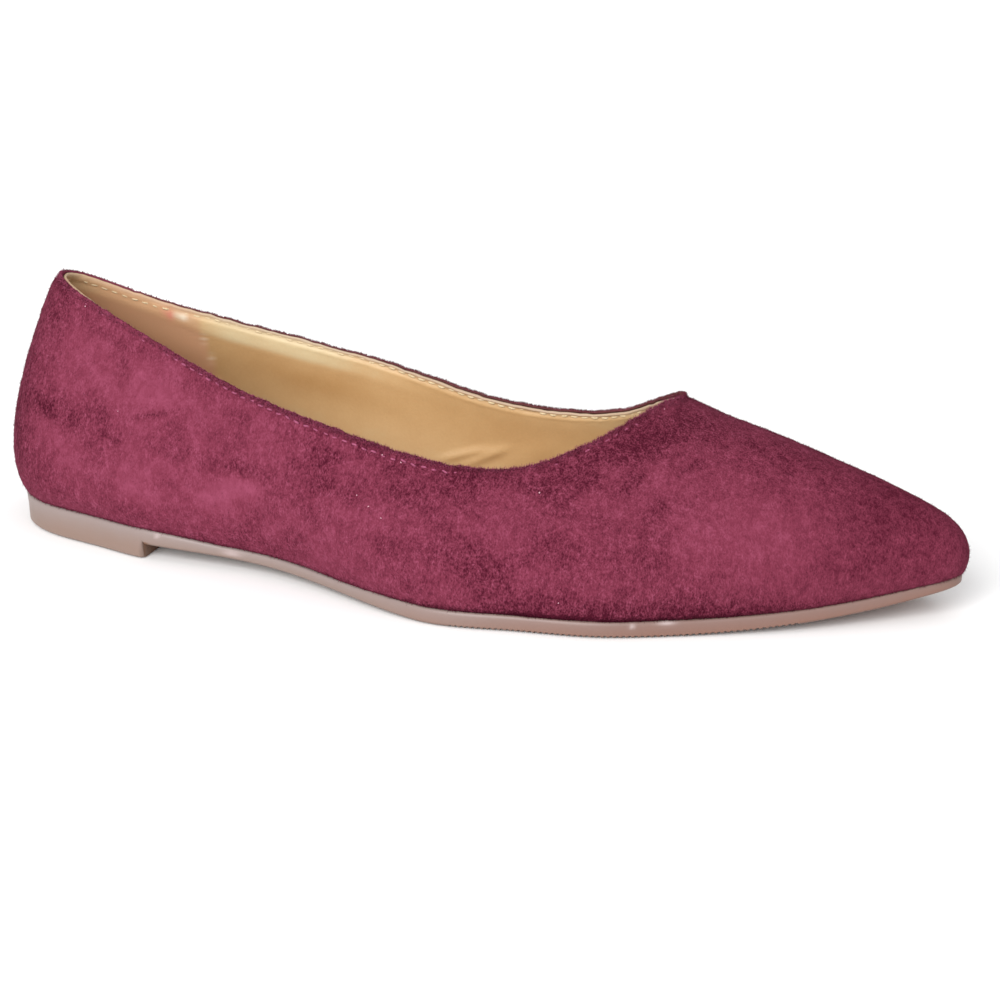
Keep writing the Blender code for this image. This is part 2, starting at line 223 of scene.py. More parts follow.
def feather_height(x):
    """Underside plus the edge's thickness, which is less at the waist and at the tip."""
    waist = smooth_step(x, HEEL_BREAST, HEEL_BREAST + WAIST_FADE) - smooth_step(x, WAIST_END, TREAD_START)
    return underside(x) + SOLE_EDGE - EDGE_THINNING * (waist + smooth_step(x, TREAD_END, LENGTH))


def middle_line(x):
    """Straight at the heel, then swinging to the medial side with a power of the way to the tip."""
    share = np.clip((np.asarray(x, float) / LENGTH - SWING_START) / (1 - SWING_START), 0, 1)
    return TOE_SWING * share**SWING_POWER


def feather_line(turn, side):
    """Middle line plus or minus the half width, at the feather's height."""
    x = place_at(turn, 0, LENGTH)
    half = along_turn(FEATHER, SIDE_NAMES[side], turn)
    return np.stack([x, middle_line(x) + side * half, feather_height(x)], axis=1)


def outline(turn, side, offset):
    """The feather line moved outwards in plan by offset, with its ends kept on the middle line."""
    points = feather_line(turn, side)
    points[:, :2] += plan_normals(points, side) * np.broadcast_to(offset, turn.shape)[:, None]
    return points


def collar_edge(turn, side):
    """The collar's edge from heel to throat, which moves over to the crest with the square of the way ahead
    of the waist."""
    name = SIDE_NAMES[side]
    x = place_at(turn, COLLAR[0].x, THROAT)
    over = np.clip((x - COLLAR_SHIFT_START) / (THROAT - COLLAR_SHIFT_START), 0, 1) ** 2
    across = along_crest("offset", THROAT) * over + side * along_turn(COLLAR, name, turn)
    return np.stack([x, across, along_turn(COLLAR, name + "_height", turn)], axis=1)


def crest_line(x):
    """The top of the vamp: how far it lies to the side and how high, read along x."""
    return np.stack([x, along_crest("offset", x), along_crest("height", x)], axis=1)


def collar_handles(turn, top, foot, side):
    """Points below the collar's edge that the wall runs towards, square to the edge and along its lean."""
    lean = np.radians(along_turn(COLLAR, "lean", turn))
    reach = COLLAR_SHARE * np.linalg.norm(top - foot, axis=1)
    outward = plan_normals(top, side, to_tip=False) * (np.sin(lean) * reach)[:, None]
    return top + np.column_stack([outward, -np.cos(lean) * reach])


def crest_handles(crest, foot):
    """Points beside the crest, in the plane that holds the crest and the level line across it."""
    reach = along_crest("crown", crest[:, 0]) * np.linalg.norm(crest - foot, axis=1)
    outward = unit((foot - crest)[:, :2]) * reach[:, None]
    middle = np.clip(crest[:, 0], CREST[0].x + SLOPE_STEP, CREST[-1].x - SLOPE_STEP)
    fall = crest_line(middle + SLOPE_STEP)[:, 2] - crest_line(middle - SLOPE_STEP)[:, 2]
    return crest + np.column_stack([outward, outward[:, 0] * fall / (2 * SLOPE_STEP)])


def rib_curves(handles, b):
    """Cubic curves drawn from four points a rib, with the weights (1-b)^3, 3(1-b)^2 b, 3(1-b) b^2 and b^3."""
    weights = [(1 - b) ** 3, 3 * (1 - b) ** 2 * b, 3 * (1 - b) * b**2, b**3]
    return sum(weight[..., None] * point[:, None, :] for weight, point in zip(weights, handles))


def nearest_place(handles, points):
    """Where each rib passes closest to its own point: the best of many samples, refined by a parabola."""
    b = np.linspace(0, 1, CUT_SAMPLES)
    gap = np.square(rib_curves(handles, b[None, :]) - points[:, None, :]).sum(axis=2)
    k = np.clip(gap.argmin(axis=1), 1, len(b) - 2)
    rows = np.arange(len(points))
    before, here, after = gap[rows, k - 1], gap[rows, k], gap[rows, k + 1]
    shift = 0.5 * (before - after) / (before - 2 * here + after)
    return np.clip(b[k] + shift * (b[1] - b[0]), 0, 1)


def cut_ribs(handles, at):
    """The part of each rib from its foot to the cut, again as four points: lines between the points are
    divided at the cut's share, and so are the lines between those places."""
    at = at[:, None]
    first = [p + (q - p) * at for p, q in zip(handles, handles[1:])]
    second = [p + (q - p) * at for p, q in zip(first, first[1:])]
    return [handles[0], first[0], second[0], second[0] + (second[1] - second[0]) * at]


def last_wall(side, collar_turn, vamp_share, climb):
    """One side of the last as a grid: ribs from heel to toe, each a cubic curve from feather line to top.
    Behind the waist a rib ends at the collar with the collar's lean. Ahead of it, it is a full section that
    is cut off at the collar."""
    first = turn_at(THROAT + FOOT_LEAD, 0, LENGTH)
    collar_foot = turn_at(place_at(collar_turn, 0, THROAT + FOOT_LEAD), 0, LENGTH)
    foot_turn = np.concatenate([collar_foot, first + (np.pi - first) * vamp_share])
    foot = feather_line(foot_turn, side)
    swell = plan_normals(foot, side) * along_turn(FEATHER, "swell", foot_turn)[:, None]
    low = foot + np.column_stack([swell, along_turn(FEATHER, "rise", foot_turn)])
    edge = collar_edge(collar_turn, side)
    vamp = THROAT + (CREST[-1].x - THROAT) * np.sin(np.pi / 2 * vamp_share)
    crest = crest_line(np.concatenate([edge[:, 0], vamp]))
    full = [foot, low, crest_handles(crest, foot), crest]
    rear = [points[: len(edge)] for points in full]
    cut = cut_ribs(rear, nearest_place(rear, edge))
    leaning = [rear[0], rear[1], collar_handles(collar_turn, edge, rear[0], side), edge]
    blend = smooth_step(edge[:, 0], CUT_START, CUT_FULL)[:, None]
    mixed = [p + (q - p) * blend for p, q in zip(leaning, cut)]
    handles = [np.vstack([p, q[len(edge) :]]) for p, q in zip(mixed, full)]
    return rib_curves(handles, climb[None, :])


def margin_rows(foot):
    """The turned-in margin: rows from its inner edge to near the feather line, level with the feather."""
    x = np.clip(foot[:, 0], MARGIN_HEEL, LENGTH - MARGIN_TOE)
    towards = np.stack([x, middle_line(x)], axis=1) - foot[:, :2]
    far = np.linalg.norm(towards, axis=1)
    width = np.minimum(LASTING_MARGIN, MARGIN_LIMIT * far)
    rows = foot[:, None, :] + np.zeros((1, len(MARGIN_ROWS), 1))
    inwards = towards / far[:, None] * width[:, None]
    rows[..., :2] += inwards[:, None] * np.array(MARGIN_ROWS)[:, None]
    rows[..., 2] = feather_height(rows[..., 0])
    return rows


def around(lateral, medial):
    """Two sides as one closed run, out to the toe along the lateral and back along the medial side."""
    return np.concatenate([lateral, medial[-2:0:-1]])


def ring_quads(columns, rows):
    """Faces of a grid that is closed along its columns, point number column * rows + row."""
    c, r = np.meshgrid(np.arange(columns), np.arange(rows - 1), indexing="ij")
    here, there = c * rows + r, (c + 1) % columns * rows + r
    return np.stack([here, there, there + 1, here + 1], axis=-1).reshape(-1, 4)


def one_index(points):
    """For each point the number of the first point at the same place."""
    key = np.round(points / WELD).astype(np.int64)
    _, first, back = np.unique(key, axis=0, return_index=True, return_inverse=True)
    return first[back.reshape(-1)]


def smooth_normals(points, quads, same):
    """At each point the sum of the normals of the faces around it, which weighs them by area, made a unit.
    same holds each point's welded twin, which the faces use."""
    a, b, c, d = (points[corner] for corner in quads.T)
    face = np.cross(c - a, d - b)
    summed = np.zeros_like(points)
    for corner in quads.T:
        np.add.at(summed, corner, face)
    return unit(summed[same])


def line_distance(points, line):
    """Distance to a closed line, and its nearest corner: that corner is found first, then the nearer of the
    two stretches that meet there."""
    squares = (points**2).sum(1)[:, None] - 2 * points @ line.T + (line**2).sum(1)
    k = squares.argmin(axis=1)
    best = np.full(len(points), np.inf)
    for a, b in ((line[k - 1], line[k]), (line[k], line[(k + 1) % len(line)])):
        share = np.clip(((points - a) * (b - a)).sum(1) / ((b - a) ** 2).sum(1), 0, 1)
        best = np.minimum(best, np.linalg.norm(points - a - (b - a) * share[:, None], axis=1))
    return best, k


HEEL_ROLL = np.array([0.0017, 0.0, 0.0004])  # the fold at the back of the heel rolls in by this much
HEEL_ROLL_RUN = 0.010
HEEL_ROLL_DEPTH = 0.0017
COLUMN_SPREAD = 0.2     # loosens the half circle's crowding of columns at heel and throat
VAMP_POWER = 1.5        # columns crowd towards the throat
CLIMB_POWER = 1.35      # and rows towards the collar
# A laid-out wall: its points, normals and faces, for each point its height up the wall, its distance from
# the collar's edge and the edge's nearest point, the edge's points with the way down the wall from them, and
# the points of the margin's inner edge
Wall = namedtuple("Wall", "points normals quads height edge_gap edge_at edge down margin")


def lay_out_wall(collar_columns, vamp_columns, rows):
    """The last's whole wall as one welded ring with its margin, and for each point how far up the wall it
    lies and how far it is from the collar's edge. Columns follow the half-circle angle, eased by a sine."""
    s = np.arange(collar_columns) / collar_columns
    collar_turn = np.pi * s + COLUMN_SPREAD * np.sin(2 * np.pi * s)
    vamp_share = np.linspace(0, 1, vamp_columns + 1) ** VAMP_POWER
    climb = 1 - (1 - np.linspace(0, 1, rows)) ** CLIMB_POWER
    sides = []
    for side in (LATERAL, MEDIAL):
        ribs = last_wall(side, collar_turn, vamp_share, climb)
        sides.append(np.concatenate([margin_rows(ribs[:, 0]), ribs], axis=1))
    grid = around(*sides)
    columns, total_rows = grid.shape[:2]
    stride = np.linalg.norm(np.diff(grid, axis=1), axis=2)
    height = np.concatenate([np.zeros((columns, 1)), stride.cumsum(axis=1)], axis=1)
    height -= height[:, len(MARGIN_ROWS)][:, None]
    points = grid.reshape(-1, 3)
    same = one_index(points)
    quads = same[ring_quads(columns, total_rows)]
    back_along_medial = columns - np.arange(collar_columns - 1, 0, -1)
    collar = np.concatenate([np.arange(collar_columns + 1), back_along_medial])
    loop = same[collar * total_rows + total_rows - 1]
    edge_gap, edge_at = line_distance(points, points[loop])
    from_heel = np.linalg.norm(points - points[loop[0]], axis=1)
    rolled = near(from_heel, HEEL_ROLL_RUN) * near(edge_gap, HEEL_ROLL_DEPTH)
    points = points + HEEL_ROLL * rolled[:, None]
    normals = smooth_normals(points, quads, same)
    edge = points[loop]
    tangent = np.roll(edge, -1, axis=0) - np.roll(edge, 1, axis=0)
    down = unit(np.cross(tangent, normals[loop]))
    margin = np.arange(columns) * total_rows
    return Wall(points, normals, quads, height.reshape(-1), edge_gap, edge_at, edge, down, margin)


HASH = (73856093, 19349663, 83492791)  # large primes that mix a cube's three numbers into one
HASH_SEED, HASH_TWIST = 40503, 1274126177


def soft_noise(points, size, seed):
    """Noise from -1 to 1: random values at the corners of cubes of that size, blended by smooth steps."""
    cell = np.floor(points / size).astype(np.int64)
    s = smooth_step(points / size - cell, 0, 1)
    noise = 0.0
    for corner in product((0, 1), repeat=3):
        key = ((cell + corner) * HASH).sum(axis=1) + seed * HASH_SEED
        key = (key ^ (key >> 13)) * HASH_TWIST
        value = ((key ^ (key >> 16)) & 0xFFFF) / 32767.5 - 1
        noise = noise + np.where(corner, s, 1 - s).prod(axis=1) * value
    return noise


def layered_noise(points, layers):
    """Sum of soft noises, one for each (size, strength, seed)."""
    return sum(strength * soft_noise(points, size, seed) for size, strength, seed in layers)


DROP_FADE = 6  # a layer's dropped edge comes back to the wall over this many times the drop


def layer(wall, points, outer, inner, drop):
    """A closed layer of the wall between two depths below its surface. Its top edge is half round, and lies
    drop below the collar's edge. Returns points and quads, the outer face's points first."""
    radius = (inner - outer) / 2
    sunk = drop * (1 - smooth_step(wall.edge_gap, 0, DROP_FADE * np.abs(drop) + WELD))
    base = points + wall.down[wall.edge_at] * sunk[:, None]
    from_edge = np.clip(radius - wall.edge_gap, 0, None)
    rounding = radius - np.sqrt(radius**2 - from_edge**2)
    outside = base - wall.normals * (outer + rounding)[:, None]
    inside = base - wall.normals * (inner - rounding)[:, None]
    count = len(points)
    across = np.stack([wall.margin, wall.margin + count], axis=1)
    ahead = np.roll(across, -1, axis=0)
    strip = np.stack([across[:, 0], across[:, 1], ahead[:, 1], ahead[:, 0]], axis=1)
    quads = np.concatenate([wall.quads, wall.quads[:, ::-1] + count, strip])
    return np.concatenate([outside, inside]), quads


def piece(name, material, points, quads, values=()):
    """A mesh object at the origin. Points at the same place are welded, each quad becomes two triangles,
    and triangles without area are dropped. values holds pairs of a name and a number for each point, which
    are kept as attributes."""
    same = one_index(points)
    corners = same[quads]
    triangles = np.concatenate([corners[:, [0, 1, 2]], corners[:, [0, 2, 3]]])
    a, b, c = triangles.T
    triangles = triangles[(a != b) & (b != c) & (c != a)]
    used, triangles = np.unique(triangles, return_inverse=True)
    mesh = bpy.data.meshes.new(name)
    mesh.from_pydata(points[used] + PART_SHIFT, [], triangles.reshape(-1, 3))
    mesh.shade_smooth()
    for value_name, numbers in values:
        attribute = mesh.attributes.new(value_name, "FLOAT", "POINT")
        attribute.data.foreach_set("value", numbers[used].astype(np.float32))
    mesh.materials.append(material)
    made = bpy.data.objects.new(name, mesh)
    bpy.context.scene.collection.objects.link(made)
    return made


# From the last's own frame to the part's: the outsole's widest points and its back show where the last lies
sole_low, sole_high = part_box("outsole")
dense_turns = np.linspace(0, np.pi, 721)
sole_reach = around(*(outline(dense_turns, side, SOLE_LEDGE + SIDE_SWELL) for side in (LATERAL, MEDIAL)))
sole_middle = (sole_reach[:, 1].min() + sole_reach[:, 1].max()) / 2
shift_x = sole_low.x - sole_reach[:, 0].min()
shift_y = (sole_low.y + sole_high.y) / 2 - sole_middle
PART_SHIFT = np.array([shift_x, shift_y, 0.0])

STITCH_DEPTH = 0.0014   # the stitches lie this far below the collar's edge
STITCH_DIP = 0.0008     # and this much further down beside the ball
DIP_PLACE, DIP_RUN = 0.112, 0.030
TROUGH_WIDTH = 0.0005
TROUGH_DEPTH = 0.00024
EDGE_ROLL = 0.00026     # the fold above the stitches stands out by this much
EDGE_ROLL_OVER = (0.008, 0.030)  # which sets in over this stretch from the heel
ROLL_LUMPS = ((0.002, 0.7, 5),)  # size, strength and seed of the fold's unevenness
THROAT_ROLL = 0.0008    # at the throat it stands out by this much more
THROAT_RUN = 0.006
PILE = 0.00020          # height of the nap over the last
LUMPS = ((0.016, 0.00018, 0), (0.006, 0.00010, 1), (0.0025, 0.00006, 2))  # the suede's own unevenness
FUZZ = 0.00004
RIM_THINNING = 0.0004   # the suede is skived by this much at the collar
RIM_RUN = 0.0015
SKIVED_OVER = (0.014, 0.030)     # from the heel on
SKIVED_LESS_OVER = (0.075, 0.105)  # and half as much from the ball on
RIM_WAVE = 0.00028      # the folded edge goes up and down by this much, over this run
RIM_WAVE_RUN = 0.0012
RIM_WAVE_OVER = (0.012, 0.030)

# Brushed marks in the nap, and a few patches of painted shade: place along the shoe and up the wall, half
# length and half height, slope in degrees, and tone (below 0 darker, where the nap stands up or as painted
# shade; above 0 lighter, where it lies smooth)
Mark = namedtuple("Mark", "x up length height slope tone")
OUTER_MARKS = [
    # painted shade down the back of the heel, where the wall turns away from the light
    Mark(0.002, 0.028, 0.006, 0.034, 0, -0.7),
    Mark(0.0125, 0.052, 0.0035, 0.012, 0, -0.6),
    Mark(0.0165, 0.041, 0.003, 0.005, 0, 0.1),
    Mark(0.0345, 0.042, 0.005, 0.0018, -60, -0.6),
    Mark(0.045, 0.038, 0.007, 0.006, 0, 0.35),
    Mark(0.0125, 0.0272, 0.0045, 0.0014, -28, -1.3),
    Mark(0.027, 0.0285, 0.007, 0.0045, 10, -0.6),
    Mark(0.045, 0.0308, 0.0055, 0.0008, 15, -1.2),
    Mark(0.032, 0.0235, 0.0060, 0.0038, -25, -0.5),
    Mark(0.069, 0.0228, 0.013, 0.0024, 5, -0.75),
    Mark(0.070, 0.034, 0.014, 0.005, -5, -0.1),
    Mark(0.0215, 0.018, 0.005, 0.005, 0, 0.45),
    Mark(0.012, 0.012, 0.006, 0.012, 0, -0.25),
    Mark(0.045, 0.011, 0.011, 0.006, 0, 0.4),
    Mark(0.072, 0.0175, 0.012, 0.003, 25, 0.75),
    Mark(0.088, 0.007, 0.006, 0.005, 25, -0.55),
    Mark(0.070, 0.0025, 0.008, 0.0025, 15, -0.5),
    Mark(0.110, 0.028, 0.022, 0.006, 0, -0.55),
    Mark(0.120, 0.034, 0.030, 0.0025, -3, -0.4),
    Mark(0.114, 0.0135, 0.013, 0.0045, 5, -0.3),
    Mark(0.143, 0.013, 0.008, 0.005, 0, -0.5),
    Mark(0.155, 0.042, 0.006, 0.006, 40, -0.6),
    Mark(0.157, 0.030, 0.010, 0.007, 0, -0.35),
    Mark(0.165, 0.030, 0.003, 0.006, 60, 0.35),
    Mark(0.172, 0.047, 0.012, 0.007, 35, -1.2),
    Mark(0.180, 0.033, 0.008, 0.004, 20, 0.3),
    Mark(0.182, 0.017, 0.009, 0.006, 0, -0.35),
    Mark(0.198, 0.020, 0.016, 0.008, -15, 0.5),
    Mark(0.205, 0.040, 0.030, 0.005, -28, -0.6),
    Mark(0.232, 0.020, 0.014, 0.012, -40, -1.15),
    Mark(0.243, 0.008, 0.006, 0.008, 0, -0.5),
    # these three, low along the feather line, are painted shade where the upper meets the sole
    Mark(0.175, 0.002, 0.030, 0.004, 0, -1.2),
    Mark(0.205, 0.001, 0.020, 0.0015, 0, -0.5),
    Mark(0.163, 0.0002, 0.036, 0.0007, 0, -3.0),
    Mark(0.0802, 0.0346, 0.0070, 0.0030, -5, 0.2),
    Mark(0.0879, 0.0277, 0.0024, 0.0018, 0, -0.7),
    Mark(0.0953, 0.0289, 0.0020, 0.0010, 0, -0.6),
    Mark(0.0951, 0.0231, 0.0028, 0.0018, 0, -0.7),
    Mark(0.0977, 0.0325, 0.0045, 0.0018, 0, -0.6),
    Mark(0.1037, 0.0227, 0.0026, 0.0020, 0, -0.6),
    Mark(0.1046, 0.0311, 0.0050, 0.0014, -5, 0.3),
    Mark(0.1148, 0.0322, 0.0040, 0.0014, 0, -0.5),
    Mark(0.1625, 0.0351, 0.0028, 0.0022, 0, -0.5),
    Mark(0.1680, 0.0361, 0.0025, 0.0025, 0, 0.5),
    Mark(0.1718, 0.0324, 0.0022, 0.0018, 0, -0.6),
    Mark(0.1737, 0.0355, 0.0026, 0.0018, 20, -0.7),
    Mark(0.1774, 0.0384, 0.0030, 0.0020, 0, 0.4),
    Mark(0.1788, 0.0255, 0.0018, 0.0020, 0, -0.5),
    Mark(0.1811, 0.0285, 0.0022, 0.0018, 0, -0.6),
    Mark(0.1861, 0.0393, 0.0032, 0.0013, 25, -0.7),
]
INNER_MARKS = [
    Mark(0.015, 0.035, 0.010, 0.007, 10, -0.6),
    Mark(0.045, 0.020, 0.016, 0.006, -10, 0.5),
    Mark(0.070, 0.030, 0.016, 0.004, 5, -0.6),
    Mark(0.100, 0.014, 0.014, 0.005, 15, 0.5),
    Mark(0.130, 0.026, 0.018, 0.005, -5, -0.5),
    Mark(0.160, 0.016, 0.012, 0.007, 20, -0.5),
    Mark(0.172, 0.046, 0.009, 0.007, 40, -0.8),
    Mark(0.195, 0.022, 0.016, 0.008, -15, 0.5),
    Mark(0.205, 0.040, 0.030, 0.005, -28, -0.5),
    Mark(0.236, 0.018, 0.010, 0.008, -40, -0.5),
]
MARK_WAVES = ((0.007, 0.003, 11), (0.003, 0.0015, 12))  # noises that wave the marks' edges
WAVED_HEIGHT = 0.005    # marks lower than this have calmer edges
PATCHES = ((0.008, 1.0, 14), (0.0035, 0.7, 15))  # noises of the small patches between the marks
PATCH_TONE = 0.3
PATCH_LENGTH, PATCH_SLOPE = 0.6, 0.25  # they are longer than high, and slope down towards the toe
SIDES_APART = 0.05      # keeps the two sides' patches apart
PATCH_FADE_OVER = (0.15, 0.20)
BALL_TONE = -0.28       # the nap is darker from the ball on
BALL_OVER = (0.09, 0.15)
RUBBED_TONE, RUBBED_DEPTH = -0.25, 0.0030  # it is rubbed up along the collar
RUBBED_OVER = (0.035, 0.060)
FOLD_TONE, FOLD_DEPTH = 0.5, 0.0006        # the fold's top is paler: lighter fibres and painted highlight
VEE_TONE, VEE_DEPTH = 0.6, 0.0020          # and more painted highlight where it rises to the throat
VEE_OVER = (0.130, 0.155)
ROUGH_RANGE = (0.2, 1.2)
TIP_OVER = (0.18, 0.23)
FRAYED, FRAYED_DEPTH = 1.1, 0.0025         # roughness along the collar
FRAYED_OVER = (0.030, 0.060)
BACK_OVER = (0.012, 0.035)  # the suede's folded-in back is painted in shade from the heel on
BACK_THROAT = (0.006, 0.018)  # but not near the throat
CROWN_DEPTH = 0.0003


def side_of(points):
    """-1 on the lateral side of the middle line, 1 on the medial side."""
    return np.sign(points[:, 1] - middle_line(points[:, 0]))


def from_throat(points):
    """Distance to the collar's foremost point."""
    return np.linalg.norm(points - crest_line(np.array([THROAT])), axis=1)


def nap_tone(wall):
    """Sum of soft spots, each exp(-(along^2 + across^2)) in its own turned axes, with edges waved by noise.
    Small patches lie between them, and the tone changes along the collar and from the ball on."""
    x, side = wall.points[:, 0], side_of(wall.points)
    laid_out = np.stack([PATCH_LENGTH * x, SIDES_APART * side, wall.height + PATCH_SLOPE * x], axis=1)
    tone = PATCH_TONE * np.tanh(2 * layered_noise(laid_out, PATCHES))
    tone = tone * (1 - 0.75 * smooth_step(x, *PATCH_FADE_OVER))
    tone += BALL_TONE * smooth_step(x, *BALL_OVER)
    tone += RUBBED_TONE * near(wall.edge_gap, RUBBED_DEPTH) * smooth_step(x, *RUBBED_OVER)
    # The fold's top is paler: lighter fibres with painted highlight, more so where it rises to the throat
    tone += FOLD_TONE * near(wall.edge_gap, FOLD_DEPTH)
    tone += VEE_TONE * near(wall.edge_gap, VEE_DEPTH) * smooth_step(x, *VEE_OVER)
    wave = layered_noise(wall.points, MARK_WAVES)
    for marked_side, marks in ((LATERAL, OUTER_MARKS), (MEDIAL, INNER_MARKS)):
        for mark in marks:
            slope = np.radians(mark.slope)
            waved = wave * np.clip(mark.height / WAVED_HEIGHT, 0.2, 1)
            dx, dh = x - mark.x + waved, wall.height - mark.up + waved
            along = (dx * np.cos(slope) + dh * np.sin(slope)) / mark.length
            across = (dh * np.cos(slope) - dx * np.sin(slope)) / mark.height
            tone += mark.tone * np.exp(-(along**2) - across**2) * (side == marked_side)
    return tone


def nap_roughness(wall, tone):
    """High where the nap is dark and along the collar, and less towards the tip."""
    x = wall.points[:, 0]
    rough = np.clip(0.55 - 0.7 * tone, *ROUGH_RANGE) * (1 - 0.45 * smooth_step(x, *TIP_OVER))
    return np.maximum(rough, FRAYED * near(wall.edge_gap, FRAYED_DEPTH) * smooth_step(x, *FRAYED_OVER))


def back_painted_shade(wall):
    """How much painted shade darkens the folded-in back of the suede: less at the heel, none at the throat.
    """
    shade = 0.2 + 0.7 * smooth_step(wall.points[:, 0], *BACK_OVER)
    return shade * smooth_step(from_throat(wall.points), *BACK_THROAT)


def suede_thickness(wall):
    """Less along the collar's edge, between the heel and the ball."""
    x = wall.points[:, 0]
    skived = smooth_step(x, *SKIVED_OVER) * (1 - 0.5 * smooth_step(x, *SKIVED_LESS_OVER))
    return SUEDE - RIM_THINNING * skived * near(wall.edge_gap, RIM_RUN)


def rim_wave(points):
    """Fine noise along the folded edge, which sets in ahead of the heel."""
    wave = RIM_WAVE * soft_noise(points, RIM_WAVE_RUN, 17)
    return wave * smooth_step(points[:, 0], *RIM_WAVE_OVER)


def stitch_depth(x):
    """Even along the collar, with a soft dip beside the ball."""
    return STITCH_DEPTH + STITCH_DIP * near(x - DIP_PLACE, DIP_RUN)


def suede_relief(wall):
    """Height of the suede over the last: soft lumps, the folded edge's roll, and the stitches' trough."""
    x = wall.points[:, 0]
    relief = PILE + layered_noise(wall.points, LUMPS)
    relief = relief + FUZZ * np.random.default_rng(7).standard_normal(len(x))
    depth = stitch_depth(x)
    roll = EDGE_ROLL * smooth_step(x, *EDGE_ROLL_OVER)
    roll += THROAT_ROLL * near(from_throat(wall.points), THROAT_RUN)
    roll = roll * (1 + layered_noise(wall.points, ROLL_LUMPS))
    relief += roll * near(2 * wall.edge_gap - depth, depth)
    return relief - TROUGH_DEPTH * near(wall.edge_gap - depth, TROUGH_WIDTH)


class Finish:
    """A new material, and the kinds of node that the shoe's finishes are made of."""

    def __init__(self, name):
        self.material = bpy.data.materials.new(name)
        self.material.use_nodes = True
        self.shader = self.material.node_tree.nodes["Principled BSDF"]

    def put(self, value, socket):
        """Links a socket to another node's output, or sets it to a constant."""
        if isinstance(value, bpy.types.NodeSocket):
            self.material.node_tree.links.new(value, socket)
        else:
            socket.default_value = (*value, 1) if socket.type == "RGBA" else value

    def add(self, kind, inputs=(), **settings):
        """A node with its settings, and its inputs by name or by number."""
        node = self.material.node_tree.nodes.new(kind)
        for name, value in settings.items():
            setattr(node, name, value)
        for name, value in dict(inputs).items():
            self.put(value, node.inputs[name])
        return node

    def value(self, name):
        """The number that the mesh holds under this name at each point."""
        return self.add("ShaderNodeAttribute", attribute_name=name).outputs["Fac"]

    def noise(self, scale, detail, rough=0.5, distortion=0.0, stretch=None):
        """Noise from 0 to 1 over the object's own coordinates, which are first multiplied by a stretch."""
        place = self.add("ShaderNodeTexCoord").outputs["Object"]
        if stretch:
            place = self.add("ShaderNodeMapping", {"Vector": place, "Scale": stretch}).outputs["Vector"]
        inputs = {"Vector": place, "Scale": scale, "Detail": detail}
        inputs |= {"Roughness": rough, "Distortion": distortion}
        return self.add("ShaderNodeTexNoise", inputs).outputs["Fac"]

    def total(self, terms, start):
        """start plus each (output, weight) term, as a chain of multiply-add nodes."""
        value = start
        for output, weight in terms:
            inputs = {0: output, 1: weight, 2: value}
            value = self.add("ShaderNodeMath", inputs, operation="MULTIPLY_ADD").outputs[0]
        return value

    def times(self, first, second):
        """The product of two outputs."""
        return self.add("ShaderNodeMath", {0: first, 1: second}, operation="MULTIPLY").outputs[0]

    def ramp(self, value, stops):
        """A colour ramp through (place, colour) stops."""
        node = self.add("ShaderNodeValToRGB", {"Fac": value})
        while len(node.color_ramp.elements) < len(stops):
            node.color_ramp.elements.new(0.5)
        for element, (place, colour) in zip(node.color_ramp.elements, stops):
            element.position = place
            element.color = (*colour, 1)
        return node.outputs["Color"]

    def mix(self, share, first, second):
        """first where share is 0 and second where it is 1."""
        return self.add("ShaderNodeMix", {0: share, 6: first, 7: second}, data_type="RGBA").outputs[2]

    def bump(self, height, strength, distance):
        """Tilts the shading as if the surface rose with a height."""
        inputs = {"Strength": strength, "Distance": distance, "Height": height}
        normal = self.add("ShaderNodeBump", inputs).outputs["Normal"]
        self.put(normal, self.shader.inputs["Normal"])

    def coat(self, colour, roughness, specular):
        """Sets the shader's colour and constants, and returns the material."""
        finish = {"Base Color": colour, "Roughness": roughness, "Specular IOR Level": specular}
        for name, value in finish.items():
            self.put(value, self.shader.inputs[name])
        return self.material


def suede_material():
    """Burgundy nap: the brushed marks set the tone, clumps and fibres roughen it where it stands up, and
    the folded-in back of the suede and the inner rim's fibres are painted dark brown as shade."""
    nap = Finish("suede")
    upright = (1, 1, 0.55)
    mottle = nap.noise(280, 3, rough=0.6, distortion=0.4)
    clumps = nap.noise(850, 3, rough=0.6, distortion=0.2, stretch=upright)
    fibres = nap.noise(2500, 2, rough=0.6, stretch=upright)
    mottle, clumps, fibres = (nap.total([(noise, 1.0)], -0.5) for noise in (mottle, clumps, fibres))
    pile = nap.times(nap.total([(fibres, 1.2), (clumps, 0.9)], 0.0), nap.value("rough"))
    tone = nap.total([(mottle, 0.45), (pile, 1.2), (nap.value("nap"), 0.2)], 0.5)
    colour = nap.ramp(tone, [
        (0.02, (0.060, 0.006, 0.016)),
        (0.50, (0.160, 0.0275, 0.0515)),
        (0.98, (0.290, 0.066, 0.120)),
    ])
    # painted shade: dark brown where the inside value marks the folded-in back, the inner crown and rim tufts
    colour = nap.mix(nap.value("inside"), colour, (0.100, 0.042, 0.034))
    nap.bump(pile, strength=0.7, distance=0.0007)
    return nap.coat(colour, roughness=0.95, specular=0.04)


TUFTS = 49000
TUFT_LENGTH = 0.00055
RIM_LENGTH = 0.00095    # on the collar's outer side and along the feather line they are longer
TUFT_SPREAD = (0.5, 1.3)  # shortest and longest, as shares of that
TUFT_RADIUS = 0.00007
TUFT_SINK = 0.0001
TUFT_LEAN = 0.7         # how far they lean astray
RIM_CROWD, RIM_CROWD_DEPTH = 14, 0.0012    # they crowd along the collar
FOOT_CROWD, FOOT_CROWD_DEPTH = 6, 0.0010   # and along the feather line
RIM_DEPTH, FRINGE_DEPTH = 0.0015, 0.0012   # down and up to where they count as the rim's and the fringe's
RIM_LIFT, FRINGE_FALL, NAP_FALL = 0.8, 1.6, 0.2  # how far rim, fringe and all the nap lean up or down
RIM_HIGHLIGHT_PAINT, RIM_MIX = 1.3, 1.6              # the outer rim's tufts are paler, as painted highlight, and more mixed in tone
INNER_RIM_DEPTH = 0.0005


